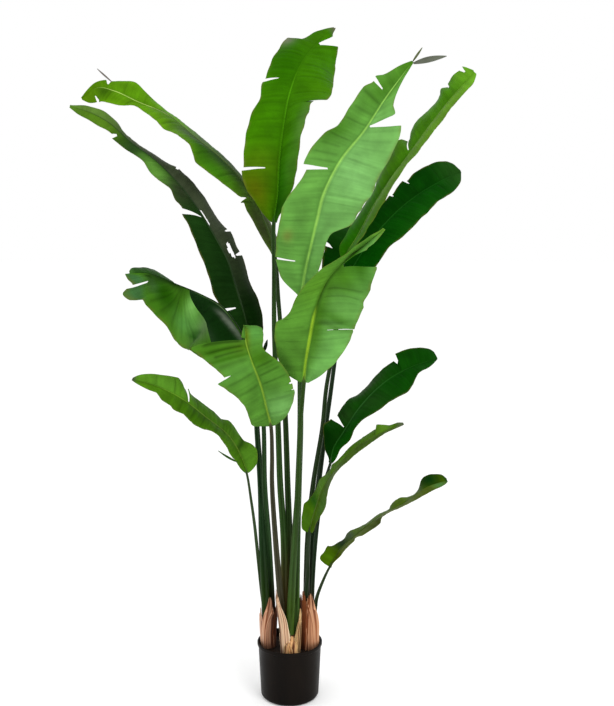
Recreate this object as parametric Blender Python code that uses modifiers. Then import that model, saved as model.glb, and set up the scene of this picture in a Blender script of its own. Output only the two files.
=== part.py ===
"""A banana plant in a plain nursery pot: thirteen broad leaves on long stalks.

The stalks rise from three short stubs wrapped in dry sheaths, which stand in a weighted pot.
Metres, +Z up. The origin is the middle of the flat bottom of the pot, and the front is -Y.
"""
import math

import bmesh
import bpy
import numpy as np

# Pot and filling
POT_HEIGHT = 0.158
RIM_RADIUS = 0.090
RIM_DEPTH = 0.008
RIM_OVERHANG = 0.0025
WALL_TOP_RADIUS = RIM_RADIUS - RIM_OVERHANG
WALL_BASE_RADIUS = 0.080
RIM_SLOPE = 0.0015
BASE_ROUND = 0.012
WALL = 0.0025
FLOOR = 0.004
FILL_TOP = 0.125
SOIL_TOP = 0.140
TURN_STEPS = 48
MERGE_DISTANCE = 0.00005

# Spacing between pieces that touch
GAP = 0.0003

# Colours, roughness and metallic value of each finish
FINISHES = {
    "pot_plastic": ((0.012, 0.011, 0.010), 0.38, 0.0),
    "cement": ((0.35, 0.34, 0.32), 0.90, 0.0),
    "soil": ((0.030, 0.020, 0.013), 0.95, 0.0),
    "stub_bark": ((0.14, 0.075, 0.035), 0.80, 0.0),
    "dry_sheath": ((0.52, 0.30, 0.15), 0.75, 0.0),
    "stalk": ((0.030, 0.070, 0.025), 0.45, 0.0),
    "blade": ((0.090, 0.260, 0.035), 0.50, 0.0),
}

# Stubs: foot centre and radius of each
STUB_TOP = 0.200
STUB_SIDES = 24
STUB_EDGE = 0.0015
SHARP_ANGLE = 35
CUTTER_OVERRUN = 0.010
STUBS = {
    "left": (-0.0595, 0.005, 0.0190),
    "centre": (-0.0010, -0.040, 0.0265),
    "right": (0.0550, -0.003, 0.0240),
}

# Dry sheaths: stub, middle angle, angle covered, height of the point, lean of the point, layer, flare
SHEATH_THICKNESS = 0.0012
SHEATH_LAYER = 0.0020
SHEATH_SEAT = 0.0012
SHEATH_ROWS = 7
SHEATH_COLUMN_ANGLE = 15
SHEATH_POINT_WIDTH = 0.12
SHEATH_NARROWING = 1.8
SHEATH_BENDING = 1.5
SHEATHS = {
    "sheath_left_front": ("left", 262, 104, 0.290, 22, 0, 0.0060),
    "sheath_left_side": ("left", 206, 62, 0.256, 8, 1, 0.0060),
    "sheath_left_back": ("left", 350, 120, 0.325, 4, 1, 0.0090),
    "sheath_centre_left": ("centre", 230, 84, 0.320, -34, 0, 0.0100),
    "sheath_centre_right": ("centre", 320, 72, 0.275, 12, 0, 0.0060),
    "sheath_centre_front": ("centre", 272, 76, 0.202, 6, 1, 0.0095),
    "sheath_centre_back": ("centre", 40, 136, 0.290, -10, 1, 0.0060),
    "sheath_right_front": ("right", 232, 84, 0.288, 8, 0, 0.0065),
    "sheath_right_side": ("right", 300, 88, 0.300, -24, 1, 0.0070),
    "sheath_right_back": ("right", 110, 140, 0.274, -12, 0, 0.0060),
}

# Stalks: radius, foot on the stub, then the points it passes on its way to its blade
ROUTE_STEPS = 24
ROUTE_POINTS = 1200
STALK_SOCKET = 0.018
STALK_POINTS = 12
STALK_END_STEP = 8
STALK_TAPER = ((0.0, 1.15), (0.35, 1.0), (1.0, 0.72))
STALK_RING = 2
STALKS = {
    "upper_left": (.0065, [(.002, -.024), (.000, -.010, .450), (-.005, .010, .600), (-.010, .035, .750),
                           (-.020, .060, .965), (-.030, .070, 1.100)]),
    "long_left": (.0075, [(-.064, -.003), (-.075, .015, .440), (-.080, .035, .595), (-.090, .055, .745),
                          (-.095, .065, .850)]),
    "crown": (.0065, [(-.014, -.028), (-.015, -.015, .450), (-.025, -.005, .605), (-.030, .000, .760),
                      (-.035, .010, .875), (-.040, .020, 1.025), (-.040, .025, 1.185)]),
    "broad_right": (.0075, [(.015, -.038), (.020, -.030, .455), (.025, -.020, .610), (.030, -.010, .760),
                            (.030, -.010, .880), (.030, -.015, 1.000)]),
    "edge_right": (.0060, [(.046, -.005), (.050, .005, .445), (.065, .015, .600), (.090, .025, .755),
                           (.100, .030, .860), (.120, .035, .980), (.130, .035, 1.105)]),
    "back_right": (.0060, [(.053, .009), (.060, .030, .435), (.080, .050, .590), (.100, .075, .745),
                           (.115, .090, .850), (.130, .115, .970)]),
    "front": (.0080, [(.002, -.056), (.015, -.070, .470), (.025, -.085, .625), (.030, -.105, .780)]),
    "folded_left": (.0060, [(-.049, .010), (-.058, .018, .440), (-.068, .020, .595), (-.070, .030, .750),
                            (-.075, .035, .830), (-.090, .030, .905)]),
    "arched": (.0055, [(-.018, -.046), (-.030, -.065, .465), (-.040, -.090, .630), (-.040, -.105, .710)]),
    "low_left": (.0040, [(-.068, .015), (-.078, .016, .300), (-.088, .012, .400), (-.096, .002, .490),
                         (-.104, -.008, .560)]),
    "low_right": (.0055, [(.061, -.006), (.062, -.010, .305), (.072, -.025, .455), (.082, -.040, .545),
                          (.095, -.055, .625)]),
    "narrow_right": (.0050, [(.048, -.020), (.045, -.026, .300), (.050, -.045, .365), (.050, -.070, .425)]),
    "lowest": (.0040, [(.066, .004), (.070, .000, .245), (.075, .000, .280), (.090, -.015, .330)]),
}

# Blades. A route runs from the stalk to the tip. Each edge entry is the share of the length,
# the distance out from the midrib as seen from the front, and how far it comes forward.
BLADE_THICKNESS = 0.0018
BLADE_ROUTE_POINTS = 400
BLADE_STATIONS = 19
BLADE_SHARES = (-1.0, -0.62, -0.28, 0.0, 0.28, 0.62, 1.0)
BLADE_ARCH = 0.05
BLADE_START = 0.0007
BLADES = {
    "upper_left": dict(
        route=[(-.040, .080, 1.220), (-.070, .100, 1.310), (-.115, .125, 1.400), (-.185, .150, 1.480),
               (-.265, .180, 1.545), (-.345, .210, 1.610), (-.425, .240, 1.645), (-.500, .260, 1.680),
               (-.550, .270, 1.690), (-.595, .270, 1.660)],
        left=[(0, .006, 0), (.10, .010, .02), (.20, .016, .03), (.26, .030, .035), (.35, .044, .045),
              (.44, .058, .05), (.52, .042, .055), (.58, .026, .055), (.63, .038, .045), (.70, .035, .03),
              (.75, .026, .025), (.83, .036, .02), (.92, .040, .015), (.97, .036, .01), (1, .006, 0)],
        right=[(0, .006, 0), (.10, .004, -.04), (.25, .004, -.07), (.45, .006, -.08), (.60, .004, -.07),
               (.67, .014, -.06), (.72, .038, -.04), (.79, .050, -.02), (.87, .036, -.01), (.94, .020, 0),
               (1, .003, 0)]),
    "long_left": dict(
        route=[(-.105, .070, .965), (-.120, .070, 1.045), (-.145, .080, 1.125), (-.170, .090, 1.205),
               (-.205, .100, 1.270), (-.255, .120, 1.350), (-.310, .130, 1.420), (-.370, .130, 1.480),
               (-.430, .120, 1.525), (-.485, .100, 1.575), (-.530, .080, 1.600), (-.580, .060, 1.615)],
        left=[(0, .006, 0), (.05, .028, .01), (.12, .044, .02), (.21, .061, .025), (.30, .064, .03),
              (.42, .054, .03), (.52, .040, .03), (.59, .024, .03), (.66, .031, .025), (.73, .020, .02),
              (.80, .025, .015), (.90, .022, .01), (.97, .015, .005), (1, .003, 0)],
        right=[(0, .006, 0), (.06, .042, -.02), (.13, .046, -.04), (.25, .038, -.055), (.37, .041, -.055),
               (.50, .028, -.05), (.63, .028, -.04), (.70, .009, -.045), (.80, .006, -.04), (.88, .017, -.02),
               (.95, .012, -.01), (1, .003, 0)]),
    "crown": dict(
        route=[(-.040, .030, 1.310), (-.030, .045, 1.380), (-.025, .070, 1.475), (-.015, .100, 1.565),
               (.000, .140, 1.655), (.030, .180, 1.740), (.075, .230, 1.805), (.125, .270, 1.855)],
        left=[(0, .008, 0), (.05, .045, 0), (.12, .082, .01), (.20, .098, .01), (.31, .097, .01),
              (.45, .090, .01), (.52, .074, .01), (.62, .078, 0), (.72, .077, -.01), (.79, .070, -.02),
              (.84, .040, -.02), (.92, .027, -.01), (1, .003, 0)],
        right=[(0, .008, 0), (.07, .027, .03), (.15, .042, .045), (.25, .048, .05), (.40, .054, .05),
               (.54, .072, .03), (.60, .110, .01), (.70, .106, -.01), (.80, .096, -.02), (.88, .077, -.03),
               (.945, .050, -.02), (.965, .012, -.01), (1, .003, 0)]),
    "broad_right": dict(
        route=[(.035, -.020, 1.120), (.045, -.040, 1.190), (.060, -.060, 1.255), (.075, -.075, 1.320),
               (.090, -.090, 1.380), (.130, -.110, 1.460), (.190, -.140, 1.535), (.240, -.170, 1.610),
               (.300, -.190, 1.690)],
        left=[(0, .010, 0), (.07, .062, .01), (.14, .083, .01), (.24, .092, .01), (.33, .094, .01),
              (.41, .072, .01), (.48, .066, .01), (.54, .078, .01), (.60, .072, .01), (.66, .059, .01),
              (.74, .062, .01), (.83, .059, 0), (.90, .036, 0), (.97, .016, 0), (1, .003, 0)],
        right=[(0, .010, 0), (.05, .048, .01), (.12, .068, .02), (.20, .080, .02), (.33, .094, .02),
               (.47, .107, .02), (.58, .102, .02), (.65, .095, .02), (.72, .084, .02), (.785, .070, .01),
               (.81, .032, .01), (.91, .010, 0), (1, .003, 0)]),
    "edge_right": dict(
        route=[(.145, .030, 1.205), (.185, .015, 1.275), (.220, .000, 1.345), (.265, -.020, 1.420),
               (.315, -.040, 1.490), (.360, -.060, 1.555), (.410, -.080, 1.620), (.465, -.090, 1.680)],
        left=[(0, .006, 0), (.06, .028, -.03), (.17, .024, -.06), (.30, .020, -.07), (.42, .032, -.07),
              (.52, .040, -.065), (.59, .024, -.07), (.68, .029, -.065), (.80, .020, -.06),
              (.87, .022, -.055), (.94, .034, -.04), (.98, .030, -.02), (1, .006, 0)],
        right=[(0, .006, 0), (.10, .007, .04), (.25, .010, .065), (.45, .009, .075), (.65, .013, .07),
               (.85, .015, .055), (.95, .015, .03), (1, .006, 0)]),
    "back_right": dict(
        route=[(.135, .140, 1.095), (.175, .170, 1.180), (.230, .200, 1.260), (.300, .240, 1.335),
               (.370, .280, 1.390), (.440, .320, 1.430), (.505, .360, 1.460)],
        left=[(0, .008, 0), (.06, .055, 0), (.14, .088, 0), (.24, .094, 0), (.33, .072, -.01),
              (.46, .048, -.02), (.56, .047, -.02), (.66, .054, -.02), (.83, .057, -.02), (.94, .048, -.01),
              (.98, .030, 0), (1, .004, 0)],
        right=[(0, .008, 0), (.08, .036, .01), (.20, .054, .02), (.35, .050, .03), (.50, .062, .03),
               (.64, .058, .03), (.77, .046, .03), (.88, .043, .02), (.96, .027, .01), (1, .004, 0)]),
    "front": dict(
        route=[(.040, -.120, .905), (.045, -.140, .960), (.055, -.170, 1.025), (.070, -.200, 1.100),
               (.100, -.240, 1.175), (.145, -.270, 1.225), (.185, -.300, 1.260), (.225, -.330, 1.295)],
        left=[(0, .012, 0), (.04, .048, 0), (.09, .066, 0), (.17, .082, -.01), (.31, .088, -.01),
              (.37, .060, 0), (.47, .053, .01), (.58, .034, .015), (.70, .019, .02), (.82, .010, .02),
              (.93, .006, .01), (1, .003, 0)],
        right=[(0, .012, 0), (.04, .032, .01), (.10, .053, .02), (.17, .074, .02), (.28, .093, .025),
               (.37, .102, .03), (.54, .106, .03), (.70, .095, .03), (.80, .078, .03), (.85, .056, .03),
               (.88, .012, .02), (.95, .006, .01), (1, .003, 0)]),
    "folded_left": dict(
        route=[(-.110, .020, .970), (-.135, -.010, 1.030), (-.175, -.045, 1.090), (-.225, -.085, 1.125),
               (-.280, -.135, 1.155), (-.335, -.195, 1.185), (-.380, -.250, 1.190)],
        left=[(0, .006, 0), (.05, .080, .015), (.10, .114, .024), (.18, .128, .030), (.30, .138, .030),
              (.42, .139, .030), (.52, .132, .030), (.60, .113, .028), (.70, .090, .025), (.80, .076, .020),
              (.90, .064, .012), (.97, .050, .004), (1, .030, 0)],
        right=[(0, .006, 0), (.06, -.080, -.022), (.12, -.100, -.040), (.20, -.102, -.057), (.32, -.098, -.066),
               (.42, -.080, -.069), (.50, -.056, -.067), (.58, -.028, -.061), (.65, -.004, -.055),
               (.74, .003, -.046), (.87, .008, -.027), (.95, .009, -.015), (1, .004, 0)]),
    "arched": dict(
        route=[(-.045, -.120, .790), (-.055, -.140, .840), (-.070, -.155, .905), (-.090, -.160, .960),
               (-.105, -.145, 1.005), (-.110, -.115, 1.035), (-.115, -.070, 1.045)],
        left=[(0, .010, 0), (.04, .044, .01), (.12, .052, .01), (.22, .060, .02), (.32, .076, .02),
              (.43, .096, .03), (.49, .082, .03), (.56, .104, .03), (.63, .128, .03), (.70, .110, .02),
              (.80, .070, .01), (.90, .045, 0), (1, .006, 0)],
        right=[(0, .010, 0), (.03, .038, .01), (.09, .060, .015), (.18, .073, .02), (.29, .077, .02),
               (.41, .067, .01), (.52, .056, 0), (.70, .050, 0), (.85, .036, 0), (1, .006, 0)]),
    "low_left": dict(
        route=[(-.115, -.020, .640), (-.130, -.035, .690), (-.160, -.060, .750), (-.220, -.090, .810),
               (-.265, -.120, .855), (-.320, -.160, .895), (-.385, -.200, .925)],
        left=[(0, .006, 0), (.06, .024, .02), (.14, .028, .03), (.28, .022, .04), (.37, .022, .045),
              (.46, .036, .04), (.58, .032, .04), (.68, .028, .035), (.80, .014, .03), (.92, .009, .015),
              (1, .003, 0)],
        right=[(0, .006, 0), (.04, .030, -.01), (.10, .047, -.02), (.19, .038, -.035), (.26, .026, -.045),
               (.34, .036, -.04), (.58, .035, -.04), (.67, .027, -.04), (.73, .038, -.03), (.82, .037, -.02),
               (.92, .025, -.01), (1, .003, 0)]),
    "low_right": dict(
        route=[(.110, -.070, .680), (.120, -.060, .720), (.145, -.040, .755), (.190, .000, .815),
               (.260, .050, .875), (.340, .110, .910), (.420, .170, .925)],
        left=[(0, .006, 0), (.05, .026, -.01), (.12, .042, -.015), (.18, .050, -.02), (.22, .032, -.03),
              (.34, .027, -.035), (.48, .018, -.04), (.58, .024, -.04), (.69, .032, -.035), (.76, .045, -.03),
              (.86, .046, -.02), (.94, .034, -.01), (.98, .022, 0), (1, .004, 0)],
        right=[(0, .006, 0), (.04, .022, .01), (.12, .024, .02), (.20, .018, .03), (.28, .030, .03),
               (.44, .046, .03), (.60, .054, .03), (.72, .055, .025), (.81, .043, .02), (.91, .024, .01),
               (1, .004, 0)]),
    "narrow_right": dict(
        route=[(.055, -.100, .500), (.070, -.120, .565), (.090, -.140, .630), (.125, -.160, .690),
               (.170, -.180, .745), (.230, -.210, .790), (.285, -.240, .820)],
        left=[(0, .006, 0), (.05, .022, -.02), (.14, .025, -.035), (.22, .019, -.04), (.29, .013, -.045),
              (.37, .016, -.045), (.48, .010, -.045), (.66, .007, -.045), (.80, .011, -.035),
              (.87, .015, -.025), (.94, .006, -.01), (1, .003, 0)],
        right=[(0, .006, 0), (.06, .014, .02), (.17, .022, .035), (.26, .017, .04), (.40, .006, .045),
               (.54, .003, .045), (.66, .010, .04), (.80, .011, .03), (.93, .007, .015), (1, .003, 0)]),
    "lowest": dict(
        route=[(.110, -.030, .380), (.140, -.020, .425), (.185, -.010, .465), (.250, .010, .510),
               (.315, .030, .540), (.380, .050, .580), (.440, .070, .595)],
        left=[(0, .008, 0), (.03, .034, -.01), (.09, .035, -.02), (.15, .018, -.035), (.25, .017, -.04),
              (.39, .009, -.045), (.52, .008, -.045), (.61, .015, -.04), (.72, .004, -.045),
              (.82, .024, -.035), (.90, .032, -.025), (.97, .024, -.01), (1, .004, 0)],
        right=[(0, .008, 0), (.06, .010, .02), (.26, .005, .04), (.42, .013, .045), (.54, .005, .045),
               (.70, .009, .04), (.85, .010, .03), (.95, .008, .01), (1, .004, 0)]),
}


def clear_scene():
    """Remove whatever the scene starts with."""
    for item in list(bpy.data.objects):
        bpy.data.objects.remove(item, do_unlink=True)


def new_collection(name):
    """Return a new collection linked to the scene."""
    collection = bpy.data.collections.new(name)
    bpy.context.scene.collection.children.link(collection)
    return collection


def new_finish(name):
    """Return a material with the colour, roughness and metallic value of a finish."""
    colour, roughness, metallic = FINISHES[name]
    material = bpy.data.materials.new(name)
    material.use_nodes = True
    shader = material.node_tree.nodes["Principled BSDF"]
    shader.inputs["Base Color"].default_value = (*colour, 1.0)
    shader.inputs["Roughness"].default_value = roughness
    shader.inputs["Metallic"].default_value = metallic
    return material


def add_object(name, data, collection, finish, place, parent):
    """Link a mesh or curve as a named object at its place, under its parent."""
    item = bpy.data.objects.new(name, data)
    item.location = place
    item.parent = parent
    data.materials.append(new_finish(finish))
    collection.objects.link(item)
    return item


def add_turned(name, outline, collection, finish, parent):
    """Turn an outline of (radius, height) points around Z into a closed round piece."""
    mesh = bpy.data.meshes.new(name)
    chain = [(index, index + 1) for index in range(len(outline) - 1)]
    mesh.from_pydata([(radius, 0.0, height) for radius, height in outline], chain, [])
    item = add_object(name, mesh, collection, finish, (0.0, 0.0, 0.0), parent)
    screw = item.modifiers.new("turn", "SCREW")
    screw.axis = "Z"
    screw.steps = TURN_STEPS
    screw.render_steps = TURN_STEPS
    screw.use_merge_vertices = True
    screw.merge_threshold = MERGE_DISTANCE
    screw.use_smooth_shade = True
    return item


def arc(centre_radius, centre_height, radius, start, end, count):
    """Return points of a circular arc of an outline, angles in degrees from +radius."""
    angles = np.radians(np.linspace(start, end, count))
    return [(centre_radius + radius * math.cos(a), centre_height + radius * math.sin(a)) for a in angles]


def inner_radius(height):
    """Return the pot's inner radius at a height."""
    share = height / POT_HEIGHT
    return WALL_BASE_RADIUS + (WALL_TOP_RADIUS - WALL_BASE_RADIUS) * share - WALL


def pot_outline():
    """Return the pot's profile: inner floor, inner wall, rolled rim, outer wall, base."""
    outer = inner_radius(POT_HEIGHT - RIM_DEPTH) + WALL
    lip = (RIM_RADIUS - inner_radius(POT_HEIGHT)) / 2
    lip_centre = RIM_RADIUS - lip
    inner_round = BASE_ROUND - WALL
    outline = [(0.0, FLOOR)]
    outline += arc(inner_radius(BASE_ROUND) - inner_round, FLOOR + inner_round, inner_round, -90, 0, 5)
    outline += arc(lip_centre, POT_HEIGHT - lip, lip, 180, 0, 7)
    outline += [(RIM_RADIUS, POT_HEIGHT - RIM_DEPTH), (outer, POT_HEIGHT - RIM_DEPTH - RIM_SLOPE)]
    outline += arc(inner_radius(BASE_ROUND) + WALL - BASE_ROUND, BASE_ROUND, BASE_ROUND, 0, -90, 6)
    outline += [(0.0, 0.0)]
    return outline


def fill_outline():
    """Return the profile of the cement that weighs the pot down."""
    low = FLOOR + BASE_ROUND
    outline = [(0.0, FILL_TOP), (inner_radius(FILL_TOP) - GAP, FILL_TOP), (inner_radius(low) - GAP, low)]
    corner = BASE_ROUND - WALL
    outline += arc(inner_radius(BASE_ROUND) - corner - GAP, FLOOR + GAP + corner, corner, 0, -90, 5)[1:]
    outline += [(0.0, FLOOR + GAP)]
    return outline


def soil_outline():
    """Return the profile of the soil layer above the cement."""
    low = FILL_TOP + GAP
    return [
        (0.0, SOIL_TOP),
        (inner_radius(SOIL_TOP) - GAP, SOIL_TOP),
        (inner_radius(low) - GAP, low),
        (0.0, low),
    ]


def add_post(name, collection, foot, radius, low, high):
    """Add an upright round post between two heights."""
    bpy.ops.mesh.primitive_cylinder_add(
        vertices=STUB_SIDES, radius=radius, depth=high - low, location=(*foot, (low + high) / 2)
    )
    item = bpy.context.object
    item.name = name
    item.data.name = name
    for home in list(item.users_collection):
        home.objects.unlink(item)
    collection.objects.link(item)
    return item


def add_stub(name, collection, parent):
    """Add a stub of the old trunk, standing on the cement with a bevelled top edge."""
    x, y, radius = STUBS[name]
    item = add_post(f"stub_{name}", collection, (x, y), radius, FILL_TOP + GAP, STUB_TOP)
    item.parent = parent
    item.data.materials.append(new_finish("stub_bark"))
    item.data.shade_smooth()
    item.data.set_sharp_from_angle(angle=math.radians(SHARP_ANGLE))
    bevel = item.modifiers.new("edge", "BEVEL")
    bevel.width = STUB_EDGE
    bevel.segments = 1
    bevel.limit_method = "ANGLE"
    return item


def cut_hole(item, name, cutters):
    """Cut a stub's hole through the soil layer, with clearance all round."""
    x, y, radius = STUBS[name]
    low = FILL_TOP - CUTTER_OVERRUN
    high = SOIL_TOP + CUTTER_OVERRUN
    cutter = add_post(f"cutter_{name}", cutters, (x, y), radius + GAP, low, high)
    boolean = item.modifiers.new("hole", "BOOLEAN")
    boolean.operation = "DIFFERENCE"
    boolean.solver = "EXACT"
    boolean.object = cutter
    cutter.hide_render = True
    cutter.display_type = "WIRE"


def smooth_route(points, count):
    """Return evenly spaced points of a centripetal Catmull-Rom curve through the points."""
    knots = np.asarray(points, float)
    knots = np.vstack([2 * knots[0] - knots[1], knots, 2 * knots[-1] - knots[-2]])
    pieces = []
    for index in range(1, len(knots) - 2):
        p0, p1, p2, p3 = knots[index - 1:index + 3]
        t1 = np.linalg.norm(p1 - p0) ** 0.5
        t2 = t1 + np.linalg.norm(p2 - p1) ** 0.5
        t3 = t2 + np.linalg.norm(p3 - p2) ** 0.5
        t = np.linspace(t1, t2, ROUTE_STEPS, endpoint=False)[:, None]
        a1 = (t1 - t) / t1 * p0 + t / t1 * p1
        a2 = (t2 - t) / (t2 - t1) * p1 + (t - t1) / (t2 - t1) * p2
        a3 = (t3 - t) / (t3 - t2) * p2 + (t - t2) / (t3 - t2) * p3
        b1 = (t2 - t) / t2 * a1 + t / t2 * a2
        b2 = (t3 - t) / (t3 - t1) * a2 + (t - t1) / (t3 - t1) * a3
        pieces.append((t2 - t) / (t2 - t1) * b1 + (t - t1) / (t2 - t1) * b2)
    pieces.append(knots[-2][None])
    fine = np.vstack(pieces)
    lengths = np.r_[0.0, np.cumsum(np.linalg.norm(np.diff(fine, axis=0), axis=1))]
    even = np.linspace(0.0, lengths[-1], count)
    return np.stack([np.interp(even, lengths, fine[:, axis]) for axis in range(3)], axis=1)


def smooth_values(shares, values, where):
    """Read a monotone cubic through (share, value) entries at the given shares."""
    shares = np.asarray(shares, float)
    values = np.asarray(values, float)
    width = np.diff(shares)
    rise = np.diff(values) / width
    slope = np.zeros_like(values)
    for index in range(1, len(values) - 1):
        if rise[index - 1] * rise[index] > 0:
            before = 2 * width[index] + width[index - 1]
            after = width[index] + 2 * width[index - 1]
            slope[index] = (before + after) / (before / rise[index - 1] + after / rise[index])
    slope[0] = rise[0]
    slope[-1] = rise[-1]
    cell = np.clip(np.searchsorted(shares, where, side="right") - 1, 0, len(shares) - 2)
    t = (where - shares[cell]) / width[cell]
    start = (2 * t**3 - 3 * t**2 + 1) * values[cell] + (t**3 - 2 * t**2 + t) * width[cell] * slope[cell]
    end = (3 * t**2 - 2 * t**3) * values[cell + 1] + (t**3 - t**2) * width[cell] * slope[cell + 1]
    return start + end


def directions(points):
    """Return the unit direction of travel at each point of a route."""
    steps = np.gradient(points, axis=0)
    return steps / np.linalg.norm(steps, axis=1)[:, None]


def leaf_route(name):
    """Return a leaf's whole line as two runs: stalk points and blade points."""
    foot = STALKS[name][1][0]
    low = STUB_TOP + GAP
    stalk_knots = [(*foot, low), (*foot, low + STALK_SOCKET), *STALKS[name][1][1:]]
    blade_knots = BLADES[name]["route"]
    whole = smooth_route([*stalk_knots, *blade_knots], ROUTE_POINTS)
    joint = int(np.argmin(np.linalg.norm(whole - np.asarray(blade_knots[0]), axis=1)))
    return whole[:joint + 1], whole[joint:]


def even_spacing(points, count):
    """Return a route's points spaced evenly again."""
    lengths = np.r_[0.0, np.cumsum(np.linalg.norm(np.diff(points, axis=0), axis=1))]
    even = np.linspace(0.0, lengths[-1], count)
    return np.stack([np.interp(even, lengths, points[:, axis]) for axis in range(3)], axis=1)


def add_stalk(name, collection, parent):
    """Add a leaf's stalk: a tapering tube from its stub to the foot of its blade."""
    radius = STALKS[name][0]
    run = leaf_route(name)[0]
    low = even_spacing(run[run[:, 2] <= STUB_TOP + STALK_SOCKET], 2)
    high = even_spacing(run[run[:, 2] >= STUB_TOP + STALK_SOCKET], STALK_POINTS)
    points = np.vstack([low, high[:-1], run[-1 - STALK_END_STEP], run[-1]])
    origin = points[0].copy()
    curve = bpy.data.curves.new(f"stalk_{name}", "CURVE")
    curve.dimensions = "3D"
    curve.bevel_depth = 1.0
    curve.bevel_resolution = STALK_RING
    curve.use_fill_caps = True
    curve.resolution_u = 1
    spline = curve.splines.new("POLY")
    spline.points.add(len(points) - 1)
    for index, point in enumerate(points - origin):
        share = np.linalg.norm(points[index] - points[0]) / np.linalg.norm(points[-1] - points[0])
        spline.points[index].co = (*point, 1.0)
        spline.points[index].radius = radius * float(np.interp(share, *zip(*STALK_TAPER)))
    return add_object(f"stalk_{name}", curve, collection, "stalk", origin, parent)


def add_blade(name, collection, parent):
    """Add a leaf's blade: a thin sheet folded along its midrib."""
    leaf = BLADES[name]
    route = even_spacing(leaf_route(name)[1], BLADE_ROUTE_POINTS)
    forward = directions(route)
    share = np.linspace(0.0, 1.0, BLADE_STATIONS)
    index = np.round(share * (BLADE_ROUTE_POINTS - 1)).astype(int)
    spine = route[index]
    spine[0] += forward[0] * BLADE_START
    along = forward[index]
    outward = np.cross(along, (0.0, -1.0, 0.0))
    outward /= np.linalg.norm(outward, axis=1)[:, None]
    front = np.cross(outward, along)
    mesh = bpy.data.meshes.new(f"blade_{name}")
    sheet = bmesh.new()
    columns = []
    for part in BLADE_SHARES:
        side, sign = ("left", -1.0) if part < 0 else ("right", 1.0)
        entries = np.asarray(leaf[side], float)
        out = smooth_values(entries[:, 0], entries[:, 1], share)[:, None]
        near = smooth_values(entries[:, 0], entries[:, 2], share)[:, None]
        reach = abs(part)
        arch = BLADE_ARCH * np.hypot(out, near) * math.sin(math.pi * reach)
        place = spine + outward * sign * out * reach + front * (near * reach + arch) - spine[0]
        columns.append([sheet.verts.new(point) for point in place])
    for left, right in zip(columns[:-1], columns[1:]):
        for row in range(BLADE_STATIONS - 1):
            sheet.faces.new((left[row], right[row], right[row + 1], left[row + 1]))
    sheet.to_mesh(mesh)
    sheet.free()
    mesh.shade_smooth()
    item = add_object(f"blade_{name}", mesh, collection, "blade", spine[0], parent)
    wall = item.modifiers.new("thickness", "SOLIDIFY")
    wall.thickness = BLADE_THICKNESS
    wall.offset = 0.0
    return item


def add_sheath(name, collection, parent):
    """Add a dry sheath: a pointed strip that wraps one side of its stub."""
    stub, middle, covered, top, lean, layer, spread = SHEATHS[name]
    x, y, radius = STUBS[stub]
    low = SOIL_TOP + GAP
    columns = 1 + math.ceil(covered / SHEATH_COLUMN_ANGLE)
    mesh = bpy.data.meshes.new(name)
    strip = bmesh.new()
    rows = []
    for rise in np.linspace(0.0, 1.0, SHEATH_ROWS):
        height = low + (top - low) * rise
        half = covered / 2 * (1.0 - (1.0 - SHEATH_POINT_WIDTH) * rise**SHEATH_NARROWING)
        centre = middle + lean * rise**SHEATH_BENDING
        flare = spread * ((height - low) / (POT_HEIGHT - FLOOR))**SHEATH_BENDING
        reach = radius + SHEATH_SEAT + SHEATH_LAYER * layer + flare
        angles = np.radians(np.linspace(centre - half, centre + half, columns))
        rows.append([
            strip.verts.new((reach * math.cos(a), reach * math.sin(a), height - low)) for a in angles
        ])
    for lower, upper in zip(rows[:-1], rows[1:]):
        for column in range(columns - 1):
            strip.faces.new((lower[column], lower[column + 1], upper[column + 1], upper[column]))
    strip.to_mesh(mesh)
    strip.free()
    mesh.shade_smooth()
    item = add_object(name, mesh, collection, "dry_sheath", (x, y, low), parent)
    wall = item.modifiers.new("thickness", "SOLIDIFY")
    wall.thickness = SHEATH_THICKNESS
    wall.offset = 0.0
    return item


def main():
    """Build the pot, its filling, the stubs with their sheaths, and the leaves."""
    clear_scene()
    parts = new_collection("potted_banana_plant")
    cutters = new_collection("cutters")
    plant = bpy.data.objects.new("plant_origin", None)
    parts.objects.link(plant)
    add_turned("pot", pot_outline(), parts, "pot_plastic", plant)
    add_turned("cement_fill", fill_outline(), parts, "cement", plant)
    soil = add_turned("soil", soil_outline(), parts, "soil", plant)
    for name in STUBS:
        add_stub(name, parts, plant)
        cut_hole(soil, name, cutters)
    for name in SHEATHS:
        add_sheath(name, parts, plant)
    for name in BLADES:
        add_stalk(name, parts, plant)
        add_blade(name, parts, plant)


main()
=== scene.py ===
"""A tall artificial banana plant in a plain nursery pot, dressed for its portrait.

Thirteen leaves rise on channelled petioles from three short stubs wrapped in dry sheaths.
Metres, +Z up, with the origin in the middle of the pot's flat bottom and the front at -Y.
"""
import logging
import math
from collections.abc import Iterator
from contextlib import contextmanager
from dataclasses import dataclass, field
from enum import Enum
from typing import TypeVar

import bpy
import numpy as np
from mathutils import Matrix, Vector


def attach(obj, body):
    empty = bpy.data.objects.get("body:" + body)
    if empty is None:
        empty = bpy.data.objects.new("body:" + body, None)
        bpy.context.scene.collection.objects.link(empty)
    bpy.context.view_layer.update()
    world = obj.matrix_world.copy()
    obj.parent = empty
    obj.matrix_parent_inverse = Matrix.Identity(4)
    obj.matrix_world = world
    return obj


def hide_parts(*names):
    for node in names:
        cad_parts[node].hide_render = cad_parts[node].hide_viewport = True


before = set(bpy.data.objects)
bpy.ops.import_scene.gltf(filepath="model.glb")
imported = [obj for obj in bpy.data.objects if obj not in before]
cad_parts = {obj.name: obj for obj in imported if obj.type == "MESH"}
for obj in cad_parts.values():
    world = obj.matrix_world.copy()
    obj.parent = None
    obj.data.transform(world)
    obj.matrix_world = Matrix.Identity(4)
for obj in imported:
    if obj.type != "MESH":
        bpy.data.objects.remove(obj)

LOG = logging.getLogger("banana_plant")
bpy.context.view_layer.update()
BODY = "root"
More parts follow.
